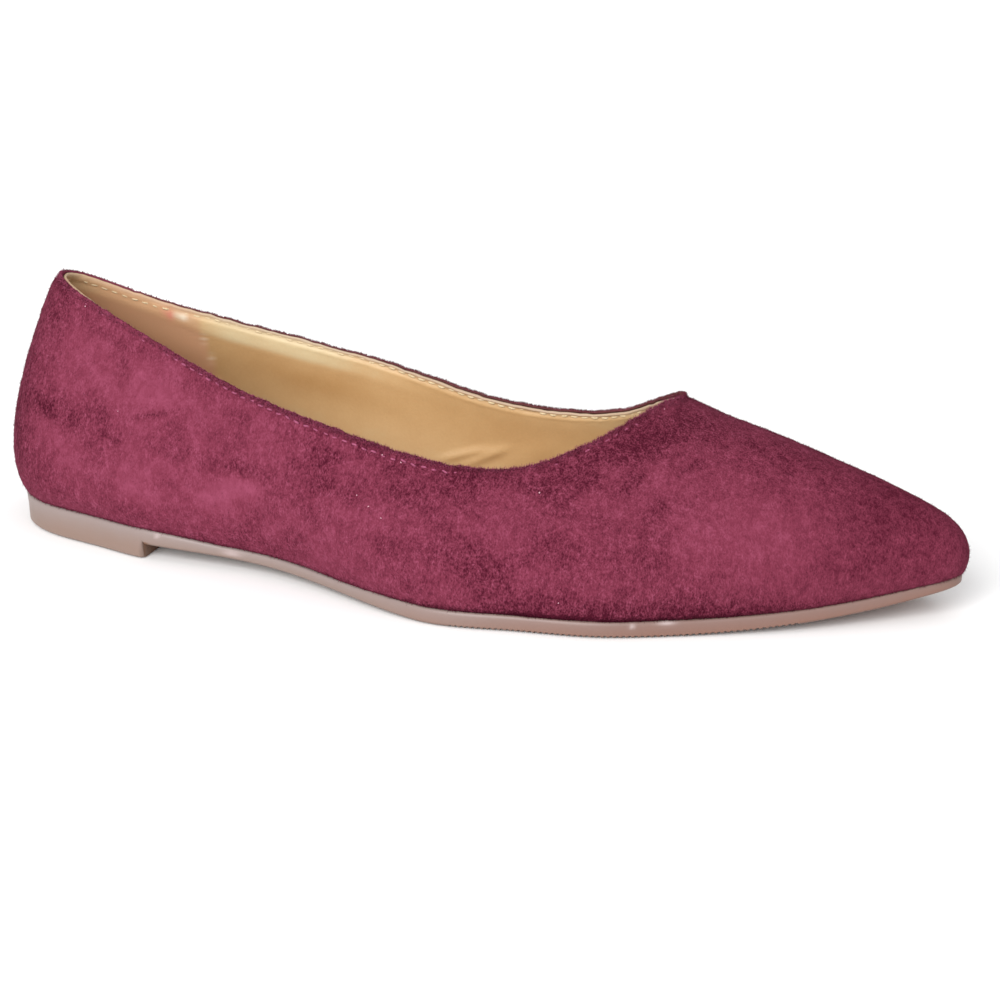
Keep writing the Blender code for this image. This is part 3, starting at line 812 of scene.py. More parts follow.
def tufts(wall, points, tone, rough):
    """Fibres that stand out of the nap: thin three-sided spikes at random places of the wall, more of them
    where the nap is rough and along both edges, each leaning its own way. Returns points, triangles as
    quads, and values."""
    random = np.random.default_rng(21)
    a, b, c, d = (points[corner] for corner in wall.quads.T)
    area = np.linalg.norm(np.cross(c - a, d - b), axis=1)
    quad_gap = wall.edge_gap[wall.quads].mean(axis=1)
    quad_height = wall.height[wall.quads].mean(axis=1)
    crowding = 1 + RIM_CROWD * near(quad_gap, RIM_CROWD_DEPTH)
    crowding += FOOT_CROWD * near(quad_height, FOOT_CROWD_DEPTH)
    weight = area * rough[wall.quads].mean(axis=1) * crowding * (quad_height > 0)
    chosen = wall.quads[random.choice(len(weight), TUFTS, p=weight / weight.sum())]
    s, t = random.random((2, TUFTS))
    shares = np.stack([(1 - s) * (1 - t), s * (1 - t), s * t, (1 - s) * t], axis=1)

    def between(values):
        return np.einsum("ij,ij...->i...", shares, values[chosen])

    foot, normal = between(points), unit(between(wall.normals))
    edge_gap = between(wall.edge_gap)
    rim = near(edge_gap, RIM_DEPTH)
    outer = rim * (side_of(foot) == LATERAL)
    fringe = near(between(wall.height), FRINGE_DEPTH)
    lean = random.standard_normal((TUFTS, 3)) * TUFT_LEAN
    lean[:, 2] += rim * RIM_LIFT - NAP_FALL - fringe * FRINGE_FALL
    length = TUFT_LENGTH + (RIM_LENGTH - TUFT_LENGTH) * np.maximum(outer, fringe)
    length = length * random.uniform(*TUFT_SPREAD, TUFTS)
    tip = foot + unit(normal + lean - normal * (lean * normal).sum(axis=1)[:, None]) * length[:, None]
    beside = unit(np.cross(normal, random.standard_normal((TUFTS, 3))))
    across = np.cross(normal, beside)
    angle = np.radians((0, 120, 240))[None, :, None]
    base = (foot - normal * TUFT_SINK)[:, None]
    radius = (TUFT_RADIUS * (1 + 0.5 * rim))[:, None, None]
    base = base + radius * (np.cos(angle) * beside[:, None] + np.sin(angle) * across[:, None])
    corners = np.concatenate([base, tip[:, None]], axis=1)
    faces = np.array([(0, 1, 3, 3), (1, 2, 3, 3), (2, 0, 3, 3), (0, 2, 1, 1)])
    quads = (faces[None] + 4 * np.arange(TUFTS)[:, None, None]).reshape(-1, 4)
    # the outer rim's tufts are lifted in tone as painted highlight
    shade = between(tone) + random.uniform(-1.0, 1.0, TUFTS) * (1 + RIM_MIX * outer) + RIM_HIGHLIGHT_PAINT * outer
    # painted shade on the tufts along the inner side's rim
    inside = 0.6 * near(edge_gap, INNER_RIM_DEPTH) * (side_of(foot) == MEDIAL)
    return corners.reshape(-1, 3), quads, [("nap", np.repeat(shade, 4)), ("inside", np.repeat(inside, 4))]


wall = lay_out_wall(collar_columns=150, vamp_columns=100, rows=74)
suede_face = wall.points + wall.normals * suede_relief(wall)[:, None]
suede_points, suede_quads = layer(wall, suede_face, 0, suede_thickness(wall), rim_wave(wall.points))
suede_outside = suede_points[: len(wall.points)]
tone = nap_tone(wall)
rough = nap_roughness(wall, tone)
# Painted shade on the suede's folded-in back, and a share of it over the inner side's crown
painted_back_shade = back_painted_shade(wall)
crown = 0.4 * painted_back_shade * near(wall.edge_gap, CROWN_DEPTH) * (side_of(wall.points) == MEDIAL)
suede_values = [
    ("nap", np.tile(tone, 2)),
    ("rough", np.tile(rough, 2)),
    ("inside", np.concatenate([crown, painted_back_shade])),
]
suede = piece("upper_suede", suede_material(), suede_points, suede_quads, suede_values)
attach(suede, "root")
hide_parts("upper")

nap_tufts = piece("upper_nap", suede.data.materials[0], *tufts(wall, suede_outside, tone, rough))
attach(nap_tufts, "root")

# Specks of pale lint caught in the nap of the outer side: place along the shoe and up the wall
LINT = [
    (0.0216, 0.0546), (0.0354, 0.0301), (0.0900, 0.0375), (0.1064, 0.0240), (0.1102, 0.0218),
    (0.1112, 0.0351), (0.1141, 0.0196), (0.1171, 0.0344), (0.1516, 0.0312), (0.1613, 0.0042),
    (0.1747, 0.0570),
]
LINT_RADIUS = 0.00022
LINT_STRETCH = (0.6, 1.5)
LINT_LIFT = 0.00010


def lint_specks(wall, face):
    """Small eight-sided lumps, each at the wall's point nearest to its place, turned at random."""
    random = np.random.default_rng(9)
    laid_out = np.stack([wall.points[:, 0], wall.height], axis=1)
    laid_out[side_of(wall.points) != LATERAL] = np.inf
    nearest = [np.square(laid_out - spot).sum(axis=1).argmin() for spot in LINT]
    corners = np.array([(1, 0, 0), (0, 1, 0), (-1, 0, 0), (0, -1, 0), (0, 0, 1), (0, 0, -1)], float)
    turned, _ = np.linalg.qr(random.standard_normal((len(LINT), 3, 3)))
    shaped = (corners * random.uniform(*LINT_STRETCH, (len(LINT), 1, 3))) @ turned
    turned_over = np.linalg.det(turned) < 0
    shaped[turned_over] *= (1, 1, -1)
    middle = face[nearest] + wall.normals[nearest] * LINT_LIFT
    points = middle[:, None] + LINT_RADIUS * shaped
    top = [(k, (k + 1) % 4, 4, 4) for k in range(4)]
    below = [((k + 1) % 4, k, 5, 5) for k in range(4)]
    quads = np.array(top + below)[None] + 6 * np.arange(len(LINT))[:, None, None]
    return points.reshape(-1, 3), quads.reshape(-1, 4)


lint_material = Finish("lint").coat((0.62, 0.34, 0.40), roughness=0.9, specular=0.5)
lint = piece("upper_lint", lint_material, *lint_specks(wall, suede_outside))
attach(lint, "root")


# The lining
# Smooth tan sheet that covers the inside of the suede, folded at the collar and caught by the same seam. At
# the heel it is a separate, rougher grip that ends in an upright seam.
LINING = 0.0008
LINING_GAP = 0.00004 + 3 * FUZZ  # room between lining and suede, clear of its fuzz
LINING_DROP = 0.0003    # on the outer side its edge lies this far below the top of the suede's fold
DROP_OVER = (0.014, 0.032)
DROP_ACROSS = (-0.006, 0.006)  # around heel and throat the outer side goes over to the inner one
LINING_SHOW = 0.0001    # at the heel and behind the ball's inner side it stands above it by this much
LINING_FRONT = 0.00015  # and beside the ball it lies this far below it again
FRONT_OVER = (0.070, 0.110)
LINING_THROAT = 0.0014  # as it does at the throat
LINING_THROAT_RUN = 0.009
THROAT_ROOM = 0.0004    # there it also keeps further from the suede
LINING_FOLLOW = 0.003   # down to about here it follows the suede's unevenness
INNER_STITCH_DEPTH = 0.0009  # the stitches lie this far below the lining's own edge
INNER_STITCH_HEEL = 0.0009   # and by this much more around the heel
INNER_STITCH_OVER = (0.024, 0.048)
FOLD_PUFF = 0.00012     # the fold above the seam stands in by this much
FOLD_REACH = 0.0008     # below here the lining's relief is full
BAND = 0.0056           # depth of the facing along the collar, which is paler and a little thicker
BAND_HEEL = 0.0012      # around the heel it is narrower by this much
BAND_SOFT = 0.0014
BAND_STEP = 0.0002
BAND_STEP_OVER = (0, 0.006)
BAND_FADE_OVER = (0.064, 0.105)  # ahead of the waist it can hardly be told from the rest
HEEL_BACK = (0.005, 0.020)       # the back of the heel ends here; there the facing is painted paler as light
PALE_OVER = (0.034, 0.050)       # ahead of the grip the facing is pale again
BESIDE_GRIP = (0.030, 0.046)
LIP = 0.0008            # the fold's pinkish edge, darkened with painted shade just below the rim
HEEL_FOLD = 0.0012      # painted shade on the fold above the grip
HEEL_FOLD_OVER = (0.034, 0.046)
DEEP = (0.010, 0.024)   # further down the wall the lining is paler as painted bounce light, and it is paler under the vamp
UNDER_VAMP = (0.13, 0.16)
GRIP_TOP = 0.0398       # the heel grip's seam: its place along the shoe at the collar
GRIP_SLOPE = 0.165      # and how far it leads forwards for each metre down the wall
GRIP_SOFT = 0.0006
GRIP_STEP = 0.0004
GRIP_STEP_OVER = (0.006, 0.014)
GRIP_PITCH = 0.0018     # the seam's stitches are small and nearly sunk
GRIP_SEAM = 0.0005      # half width of its trough
GRIP_SEAM_DEPTH = 0.0002
GRIP_STITCH = 0.0003
GRIP_SEAM_START = (0.003, 0.004)
GRIP_STITCH_END = (0.013, 0.016)

# Creases over the inner side: both ends, along the shoe and up the wall, half width and height
Crease = namedtuple("Crease", "x up x_end up_end width height")
CREASES = [
    Crease(0.1028, 0.0124, 0.1153, 0.0172, 0.0011, 0.0008),
    Crease(0.1086, 0.0112, 0.1208, 0.0183, 0.0013, 0.0009),
    Crease(0.1180, 0.0130, 0.1330, 0.0200, 0.0030, 0.0004),
]
# Stains on the inner side, and a patch of painted shade below the facing: place along the shoe and below the
# collar, half length and half height
Spot = namedtuple("Spot", "x from_edge length height")
GLUE_SPOT = Spot(0.0358, 0.0022, 0.0014, 0.0009)
DYE_SPOT = Spot(0.0323, 0.0025, 0.0008, 0.0014)
SHADE_PAINT_SPOT = Spot(0.0700, 0.0115, 0.0130, 0.0045)


def crease_relief(wall, crease):
    """A soft ridge along a line over x and the way up the wall, exp(-across^2), fading at its ends."""
    start = np.array([crease.x, crease.up])
    run = np.array([crease.x_end, crease.up_end]) - start
    place = np.stack([wall.points[:, 0], wall.height], axis=1) - start
    share = place @ run / (run @ run)
    across = (place[:, 0] * run[1] - place[:, 1] * run[0]) / np.linalg.norm(run)
    fade = smooth_step(share, -0.15, 0.3) * (1 - smooth_step(share, 0.7, 1.2))
    return crease.height * fade * near(across, crease.width) * (side_of(wall.points) == MEDIAL)


def spot_share(wall, spot):
    """A soft spot on the inner side, exp(-(along^2 + down^2))."""
    along = (wall.points[:, 0] - spot.x) / spot.length
    down = (wall.edge_gap - spot.from_edge) / spot.height
    return np.exp(-(along**2) - down**2) * (side_of(wall.points) == MEDIAL)


def lining_drop(points):
    """How far the lining's edge lies below the suede's: a little on the outer side and at the throat,
    nowhere at the heel and along the waist's inner side."""
    x = points[:, 0]
    outer = 1 - smooth_step(points[:, 1] - middle_line(x), *DROP_ACROSS)
    outer = outer * smooth_step(x, *DROP_OVER)
    inner_drop = (LINING_FRONT + LINING_SHOW) * smooth_step(x, *FRONT_OVER) - LINING_SHOW
    at_throat = LINING_THROAT * near(from_throat(points), LINING_THROAT_RUN)
    return LINING_DROP * outer + inner_drop * (1 - outer) + at_throat


def inner_stitch_depth(x):
    """Even along the collar, and deeper around the heel."""
    return INNER_STITCH_DEPTH + INNER_STITCH_HEEL * (1 - smooth_step(x, *INNER_STITCH_OVER))


def lining_material():
    """Tan coated sheet: paler on the facing along the collar, pinker and duller on the heel grip, with a
    fine grain, and with painted light and shade in its paleness and along the rim."""
    sheet = Finish("lining")
    grain = sheet.noise(1400, 2)
    tone = sheet.total([(sheet.noise(90, 3), 0.3), (grain, 0.1), (sheet.value("pale"), 0.45)], 0.0)
    colour = sheet.ramp(tone, [
        (0.00, (0.42, 0.242, 0.098)),
        (0.35, (0.55, 0.355, 0.172)),
        (0.85, (0.61, 0.535, 0.335)),
    ])
    over = {
        "grip": (0.53, 0.302, 0.175),
        "lip_and_painted_shade": (0.42, 0.310, 0.220),
        "dye": (0.66, 0.150, 0.150),
        "glue": (0.80, 0.740, 0.600),
    }
    for name, tint in over.items():
        colour = sheet.mix(sheet.value(name), colour, tint)
    sheet.bump(grain, strength=0.25, distance=0.0002)
    return sheet.coat(colour, roughness=0.5, specular=0.35)


lining_wall = lay_out_wall(collar_columns=130, vamp_columns=60, rows=56)
lining_x, edge_gap = lining_wall.points[:, 0], lining_wall.edge_gap
sunk_edge = lining_drop(lining_wall.points)
below_edge = edge_gap - sunk_edge
ahead_of_grip = smooth_step(lining_x, *BESIDE_GRIP)
band_end = BAND - BAND_HEEL * (1 - ahead_of_grip)
band = 1 - smooth_step(edge_gap, band_end - BAND_SOFT, band_end + BAND_SOFT)
band = band * (1 - 0.9 * smooth_step(lining_x, *BAND_FADE_OVER))
heel_back_painted_light = 1 - smooth_step(lining_x, *HEEL_BACK)
# the facing's own paler colour, with painted light at the back of the heel
facing = band * (0.35 + 0.65 * heel_back_painted_light + 0.65 * smooth_step(lining_x, *PALE_OVER))
grip_seam = GRIP_TOP + GRIP_SLOPE * edge_gap
grip = 1 - smooth_step(lining_x, grip_seam - GRIP_SOFT, grip_seam + GRIP_SOFT)
on_grip_seam = near(lining_x - grip_seam, GRIP_SEAM) * smooth_step(edge_gap, *GRIP_SEAM_START)
grip_stitches = on_grip_seam * (0.5 + 0.5 * np.cos(2 * np.pi * edge_gap / GRIP_PITCH))
grip_stitches = grip_stitches * (1 - smooth_step(edge_gap, *GRIP_STITCH_END))

# How far the lining's inner face stands in from its even thickness
seam_depth = inner_stitch_depth(lining_x)
inwards = FOLD_PUFF * near(2 * below_edge - seam_depth, seam_depth)
inwards -= TROUGH_DEPTH * near(below_edge - seam_depth, TROUGH_WIDTH)
inwards += BAND_STEP * band * smooth_step(edge_gap, *BAND_STEP_OVER)
inwards += GRIP_STEP * grip * smooth_step(edge_gap, *GRIP_STEP_OVER)
inwards += GRIP_STITCH * grip_stitches - GRIP_SEAM_DEPTH * on_grip_seam
inwards += sum(crease_relief(lining_wall, crease) for crease in CREASES)
inwards = inwards * smooth_step(edge_gap, 0, FOLD_REACH)

lining_depth = suede_thickness(lining_wall) - suede_relief(lining_wall) * near(edge_gap, LINING_FOLLOW)
lining_depth += LINING_GAP + THROAT_ROOM * smooth_step(sunk_edge, LINING_DROP, LINING_THROAT)
lining_edge = sunk_edge + rim_wave(lining_wall.points)
lining_points, lining_quads = layer(
    lining_wall, lining_wall.points, lining_depth, lining_depth + LINING, lining_edge
)
lining_inside = lining_points[len(lining_wall.points) :]
lining_inside -= lining_wall.normals * inwards[:, None]

heel_fold_painted_shade = near(below_edge, HEEL_FOLD) * (1 - smooth_step(lining_x, *HEEL_FOLD_OVER))
# Paleness: the facing, painted shade on the heel's fold and below it, painted bounce light low on the wall
pale = facing - 0.5 * heel_fold_painted_shade * (1 - heel_back_painted_light) - 0.45 * spot_share(lining_wall, SHADE_PAINT_SPOT)
pale += 0.42 * smooth_step(edge_gap, *DEEP) + 0.45 * smooth_step(lining_x, *UNDER_VAMP)
lining_tints = {
    "pale": pale,
    "grip": grip * (1 - 0.8 * facing),
    # the fold's pinkish edge, with painted shade just below the rim
    "lip_and_painted_shade": near(np.clip(below_edge, 0, None), LIP) * (0.55 + 0.35 * ahead_of_grip),
    "dye": spot_share(lining_wall, DYE_SPOT),
    "glue": 0.9 * spot_share(lining_wall, GLUE_SPOT) + 0.35 * grip_stitches,
}
lining_values = [(name, np.tile(share, 2)) for name, share in lining_tints.items()]
lining = piece("upper_lining", lining_material(), lining_points, lining_quads, lining_values)
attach(lining, "root")


# The collar's seam
# One row of lockstitches through suede and lining, sewn before the upper is pulled over the last. The thread
# is mauve outside and cream inside.
STITCH_PITCH = 0.0028
THREAD_LIFT = 0.00012   # height of a stitch's middle above the surface
THREAD_SINK = 0.00045   # depth of its ends below
ARCH_FULLNESS = 0.4     # below 1, a stitch rises steeply at its ends and is flat between
END_POWER = 6           # only a stitch's very ends take painted shade, where they go into the needle holes
BURIED = 0.00045        # outside, the nap covers the seam where it rises to the throat and at the heel
BURIED_FROM = (0.110, 0.140)
BURIED_TO = (0.035, 0.060)
SUNKEN = 0.0002         # inside, it is pulled in a little behind the ball
SUNKEN_TO = (0.075, 0.095)
THREAD_STATIONS = 8
THREAD_SIDES = 8
# Radius of the thread, share of the pitch that shows, and how far stitches are astray
OUTER_THREAD = (0.00028, 0.72, 0.00014)
INNER_THREAD = (0.00030, 0.90, 0.00010)


def seam_line(wall, face, depth):
    """Closed line on a face of the wall at a distance below the collar's edge, with the face's normals: the
    edge is moved down the wall and then on to the tangent plane of the nearest point."""
    guess = wall.edge + wall.down * depth[:, None]
    squares = (guess**2).sum(1)[:, None] - 2 * guess @ face.T + (face**2).sum(1)
    nearest = squares.argmin(axis=1)
    normals = wall.normals[nearest]
    return guess - normals * ((guess - face[nearest]) * normals).sum(1)[:, None], normals


def stitches(line, normals, thread, share, uneven):
    """Thread pieces along a closed line: circles carried along a share of each pitch, whose height follows
    half a sine from below the surface and back, and which close to points at both ends. Each one is a
    little astray. Returns points, quads and, as a value, how near each point is to a stitch's end."""
    random = np.random.default_rng(5)
    closed = np.vstack([line, line[:1]])
    closed_normals = np.vstack([normals, normals[:1]])
    way = np.concatenate([[0], np.linalg.norm(np.diff(closed, axis=0), axis=1).cumsum()])
    count = int(round(way[-1] / STITCH_PITCH))
    q = np.linspace(0, 1, THREAD_STATIONS)
    at = (np.arange(count)[:, None] + q * share) * way[-1] / count
    middle, up = (
        np.stack([np.interp(at, way, values[:, axis]) for axis in range(3)], axis=-1)
        for values in (closed, closed_normals)
    )
    up = unit(up)
    beside = np.cross(unit(np.gradient(middle, axis=1)), up)
    arch = np.sin(np.pi * q) ** ARCH_FULLNESS
    middle = middle + up * (arch * (THREAD_LIFT + THREAD_SINK) - THREAD_SINK)[:, None]
    astray, tilt, height = uneven * random.standard_normal((3, count, 1, 1))
    middle = middle + beside * (astray + tilt * (2 * q - 1)[:, None]) + up * height
    radius = thread * np.sqrt(1 - (2 * q - 1) ** 4)
    angle = 2 * np.pi * np.arange(THREAD_SIDES) / THREAD_SIDES
    circle = np.cos(angle)[:, None] * beside[:, :, None] + np.sin(angle)[:, None] * up[:, :, None]
    points = middle[:, :, None] + radius[:, None, None] * circle
    one = ring_quads(THREAD_SIDES, THREAD_STATIONS)
    side, station = one % THREAD_STATIONS, one // THREAD_STATIONS
    one = side * THREAD_SIDES + station
    quads = one[None] + (np.arange(count) * THREAD_STATIONS * THREAD_SIDES)[:, None, None]
    end = np.broadcast_to(np.abs(2 * q - 1)[None, :, None] ** END_POWER, points.shape[:3])
    return points.reshape(-1, 3), quads.reshape(-1, 4), [("end", end.reshape(-1))]


def thread_material(name, dark, light, hole):
    """Twisted thread: two tones in fine strands, and painted shade where it goes into the needle's hole."""
    thread = Finish(name)
    strands = thread.ramp(thread.noise(2600, 2), [(0.35, dark), (0.65, light)])
    return thread.coat(thread.mix(thread.value("end"), strands, hole), roughness=0.8, specular=0.1)


outer_line, outer_normals = seam_line(wall, suede_outside, stitch_depth(wall.edge[:, 0]))
covered = smooth_step(outer_line[:, 0], *BURIED_FROM) + 1 - smooth_step(outer_line[:, 0], *BURIED_TO)
outer_line -= outer_normals * (BURIED * covered)[:, None]
# the last colour is painted shade at the stitches' ends
mauve = thread_material("mauve_thread", (0.22, 0.048, 0.095), (0.33, 0.090, 0.160), (0.055, 0.008, 0.016))
outer_seam = piece("collar_stitches_outside", mauve, *stitches(outer_line, outer_normals, *OUTER_THREAD))
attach(outer_seam, "root")

inner_depth = inner_stitch_depth(lining_wall.edge[:, 0]) + lining_drop(lining_wall.edge)
inner_line, inner_normals = seam_line(lining_wall, lining_inside, inner_depth)
sunken = 1 - smooth_step(inner_line[:, 0], *SUNKEN_TO)
inner_line += inner_normals * (SUNKEN * sunken)[:, None]
# the last colour is painted shade at the stitches' ends
cream = thread_material("cream_thread", (0.52, 0.40, 0.24), (0.64, 0.52, 0.34), (0.20, 0.11, 0.050))
inner_seam = piece("collar_stitches_inside", cream, *stitches(inner_line, -inner_normals, *INNER_THREAD))
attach(inner_seam, "root")


# The insole
# Board with a thin foam sock, covered in the lining's tan sheet. It lies on the turned-in margin and is a
# little crowned, with a soft edge.
UPPER_WALL = 0.0018     # thickness of suede, backing and lining in the turned-in margin
GAP = 0.0003            # room between two pieces
INSOLE_THICKNESS = 0.0025
INSOLE_INSET = 0.0022
INSOLE_BEVEL = 0.0006
INSOLE_CROWN = 0.0006
RING_SHARES = (0.15, 0.35, 0.6, 0.85, 1.0)


def towards_middle(run, share):
    """A run of the outline moved by a share of its way to the middle line."""
    x = np.clip(run[:, 0], MARGIN_HEEL, LENGTH - MARGIN_TOE)
    moved = run.copy()
    moved[:, :2] += share * (np.stack([x, middle_line(x)], axis=1) - run[:, :2])
    return moved


def level(turns, offset, height, share=0.0):
    """A closed ring: the outline moved outwards by offset, then a share of the way inwards, at a height for
    each turn or worked out from x."""
    runs = []
    for side in (LATERAL, MEDIAL):
        run = towards_middle(outline(turns, side, offset), share)
        run[:, 2] = height(run[:, 0]) if callable(height) else height
        runs.append(run)
    return around(*runs)


def rings_piece(name, rings, material, values=()):
    """A solid through closed rings from the middle of its underside, out, up its side and in over its top."""
    grid = np.stack(rings, axis=1)
    return piece(name, material, grid.reshape(-1, 3), ring_quads(*grid.shape[:2]), values)


insole_turns = np.linspace(0, np.pi, 160)
insole_base = UPPER_WALL + GAP


def insole_level(offset, up, share=0.0):
    """A ring of the insole, at a height above its underside."""
    return level(insole_turns, offset, lambda x: feather_height(x) + insole_base + up, share)


insole_rings = [insole_level(-INSOLE_INSET, 0, share) for share in RING_SHARES[::-1]]
insole_rings += [insole_level(-INSOLE_INSET, 0), insole_level(-INSOLE_INSET, INSOLE_THICKNESS - INSOLE_BEVEL)]
for bevel_turn in np.radians((30, 60, 90)):
    inset = INSOLE_INSET + INSOLE_BEVEL * (1 - np.cos(bevel_turn))
    insole_rings.append(insole_level(-inset, INSOLE_THICKNESS - INSOLE_BEVEL * (1 - np.sin(bevel_turn))))
for share in RING_SHARES:
    crowned = INSOLE_THICKNESS + INSOLE_CROWN * (1 - (1 - share) ** 2)
    insole_rings.append(insole_level(-INSOLE_INSET - INSOLE_BEVEL, crowned, share))
insole = rings_piece("insole_sock", insole_rings, lining.data.materials[0])
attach(insole, "root")
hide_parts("insole")


# The outsole
# One moulding of greyish tan rubber, cemented to the turned-in margin: a low heel with rounded corners, a
# thin waist, and a forefoot with fine ribs across its tread, which show as teeth along its lower edge.
BREAST_DRAFT = 0.0005   # the heel's front face leans forwards by this much
SOLE_BEVEL = 0.0008
TOP_INSET = 0.0003
HEEL_TAPER = 0.0003     # the heel's sides stand in by this much below
TAPER_END = 0.0300      # and less and less from here to its front
HEEL_CORNER = 0.0012    # rounding of the heel's front corners
TOE_CUT = 0.0012        # the sole stands in by this much at the tip
TOE_CUT_START = 0.2300
HEEL_CUT = 0.0006       # and by this much at the back of the heel
HEEL_CUT_END = 0.0160
RIB_START, RIB_END = 0.1340, 0.2140
RIB_PITCH = 0.0014
RIB_DEPTH = 0.0006
RIB_PLACES = (0.0, 0.12, 0.42, 0.54)  # the groove's flanks, as shares of the pitch: top, floor, floor and top
FLOOR_SHARE = (0.07, 0.47)            # the groove's floor lies between these shares
BREAST_ROOM, RIB_ROOM = 0.0004, 0.0002  # plain stations keep this far from the heel's front and from the ribs
SHARP_ANGLE = np.radians(40)

rib_starts = np.arange(RIB_START, RIB_END, RIB_PITCH)
rib_stations = (rib_starts[:, None] + RIB_PITCH * np.array(RIB_PLACES)).reshape(-1)
corner_stations = HEEL_BREAST - HEEL_CORNER * (1 - np.sin(np.linspace(0, np.pi / 2, 6)))
breast_stations = np.append(corner_stations, HEEL_BREAST + BREAST_DRAFT)
plain_turns = np.linspace(0, np.pi, 260)
plain_x = place_at(plain_turns, 0, LENGTH)
beside_breast = (plain_x > corner_stations[0] - BREAST_ROOM) & (plain_x < breast_stations[-1] + BREAST_ROOM)
on_tread = (plain_x > RIB_START - RIB_ROOM) & (plain_x < rib_stations[-1] + RIB_ROOM)
extra_turns = turn_at(np.concatenate([breast_stations, rib_stations]), 0, LENGTH)
sole_turns = np.sort(np.concatenate([plain_turns[~beside_breast & ~on_tread], extra_turns]))
sole_x = place_at(sole_turns, 0, LENGTH)
on_heel = sole_x <= HEEL_BREAST + BREAST_DRAFT / 2
sole_floor = np.where(on_heel, 0.0, underside(sole_x))
block = np.where(on_heel, underside(sole_x), 0.0)
sole_top = feather_height(sole_x) - GAP
phase = (sole_x - RIB_START) / RIB_PITCH
in_groove = (phase % 1 > FLOOR_SHARE[0]) & (phase % 1 < FLOOR_SHARE[1])
groove = np.where(in_groove & (phase > 0) & (phase < len(rib_starts)), RIB_DEPTH, 0.0)
into_corner = np.clip((sole_x - HEEL_BREAST + HEEL_CORNER) / HEEL_CORNER, 0, 1)
corner = HEEL_CORNER * (1 - np.sqrt(1 - into_corner**2))
draw_in = np.where(on_heel, corner, 0.0)
taper = HEEL_TAPER * (1 - smooth_step(sole_x, TAPER_END, HEEL_BREAST))
end_cut = TOE_CUT * smooth_step(sole_x, TOE_CUT_START, LENGTH)
end_cut += HEEL_CUT * (1 - smooth_step(sole_x, 0, HEEL_CUT_END))


def sole_level(offset, height, share=0.0):
    """A ring of the outsole, with a height for each turn."""
    return level(sole_turns, offset, height, share)


# Rings from the tread's edge up the sole's side: how far out, height above the floor, share of the heel's
# block, share of the way from there to the top, and how much of corner, taper and groove each one takes
SideRing = namedtuple("SideRing", "out up block climb corner taper groove")
SOLE_SIDE = [
    SideRing(-SOLE_BEVEL, 0.0, 0.0, 0.0, 1.0, 1.0, 1.0),
    SideRing(-SOLE_BEVEL * 0.3, 0.0002, 0.0, 0.0, 1.0, 1.0, 0.9),
    SideRing(SIDE_SWELL * 0.3, 0.0006, 0.0, 0.0, 1.0, 0.9, 0.35),
    SideRing(SIDE_SWELL * 0.5, 0.0006, 0.85, 0.03, 0.9, 0.5, 0.0),
    SideRing(SIDE_SWELL * 0.6, 0.0006, 1.0, 0.12, 0.0, 0.4, 0.0),
    SideRing(SIDE_SWELL * 0.9, 0.0006, 1.0, 0.45, 0.0, 0.2, 0.0),
    SideRing(SIDE_SWELL * 0.9, 0.0006, 1.0, 0.70, 0.0, 0.1, 0.0),
    SideRing(SIDE_SWELL * 0.6, 0.0006, 1.0, 0.88, 0.0, 0.0, 0.0),
    SideRing(0.0, 0.0006, 1.0, 0.97, 0.0, 0.0, 0.0),
    SideRing(-TOP_INSET, 0.0006, 1.0, 1.0, 0.0, 0.0, 0.0),
]
LOW_RINGS = 4  # the heel's front face has this many of them
tread_offset = SOLE_LEDGE - SOLE_BEVEL - draw_in - taper - end_cut
sole_rings = [sole_level(tread_offset, sole_floor + groove, share) for share in RING_SHARES[::-1]]
sole_climb = [0.0] * len(RING_SHARES)
for ring in SOLE_SIDE:
    height = sole_floor + ring.up + ring.block * block + ring.groove * groove
    height = height + ring.climb * (sole_top - sole_floor - block - ring.up)
    offset = SOLE_LEDGE + ring.out - ring.corner * draw_in - ring.taper * taper - end_cut
    sole_rings.append(sole_level(offset, height))
    sole_climb.append(0.4 * ring.block + 0.6 * ring.climb)
sole_rings += [sole_level(SOLE_LEDGE - TOP_INSET - end_cut, sole_top, share) for share in RING_SHARES]
sole_climb += [1.0] * len(RING_SHARES)

# Pale smears of cement with painted glints, on the outer side: place along the shoe and up the edge, half
# length and half height
Smear = namedtuple("Smear", "x up length height")
SMEARS_AND_GLINTS = [
    Smear(0.0481, 0.86, 0.0006, 0.10),
    Smear(0.0687, 0.72, 0.0024, 0.14),
    Smear(0.1783, 0.85, 0.0006, 0.10),
    Smear(0.1858, 0.94, 0.0018, 0.08),
]
FRONT_SOLE = (0.08, 0.19)  # the rubber gets darker over this stretch


def rubber_material():
    """Slightly clear moulded rubber: pinkish tan below, greyer above, darker at the front, with painted shade
    on the heel's front face, and with pale smears of cement and painted glints."""
    rubber = Finish("rubber")
    tone = rubber.total([(rubber.noise(120, 3), 0.3), (rubber.value("up"), 0.8)], -0.15)
    rear = rubber.ramp(tone, [(0.15, (0.215, 0.145, 0.117)), (0.80, (0.240, 0.190, 0.178))])
    fore = rubber.ramp(tone, [(0.15, (0.205, 0.101, 0.072)), (0.80, (0.184, 0.114, 0.098))])
    colour = rubber.mix(rubber.value("front"), rear, fore)
    # painted shade on the heel's front face
    colour = rubber.mix(rubber.value("shade"), colour, (0.150, 0.070, 0.036))
    # pale smears of cement, which also stand in for glints as painted highlight
    colour = rubber.mix(rubber.value("smear_and_glint"), colour, (0.380, 0.300, 0.290))
    rubber.bump(rubber.noise(1800, 2), strength=0.15, distance=0.0002)
    return rubber.coat(colour, roughness=0.42, specular=0.4)


ring_x = around(sole_x, sole_x)
on_outer_side = np.arange(len(ring_x)) < len(sole_x)
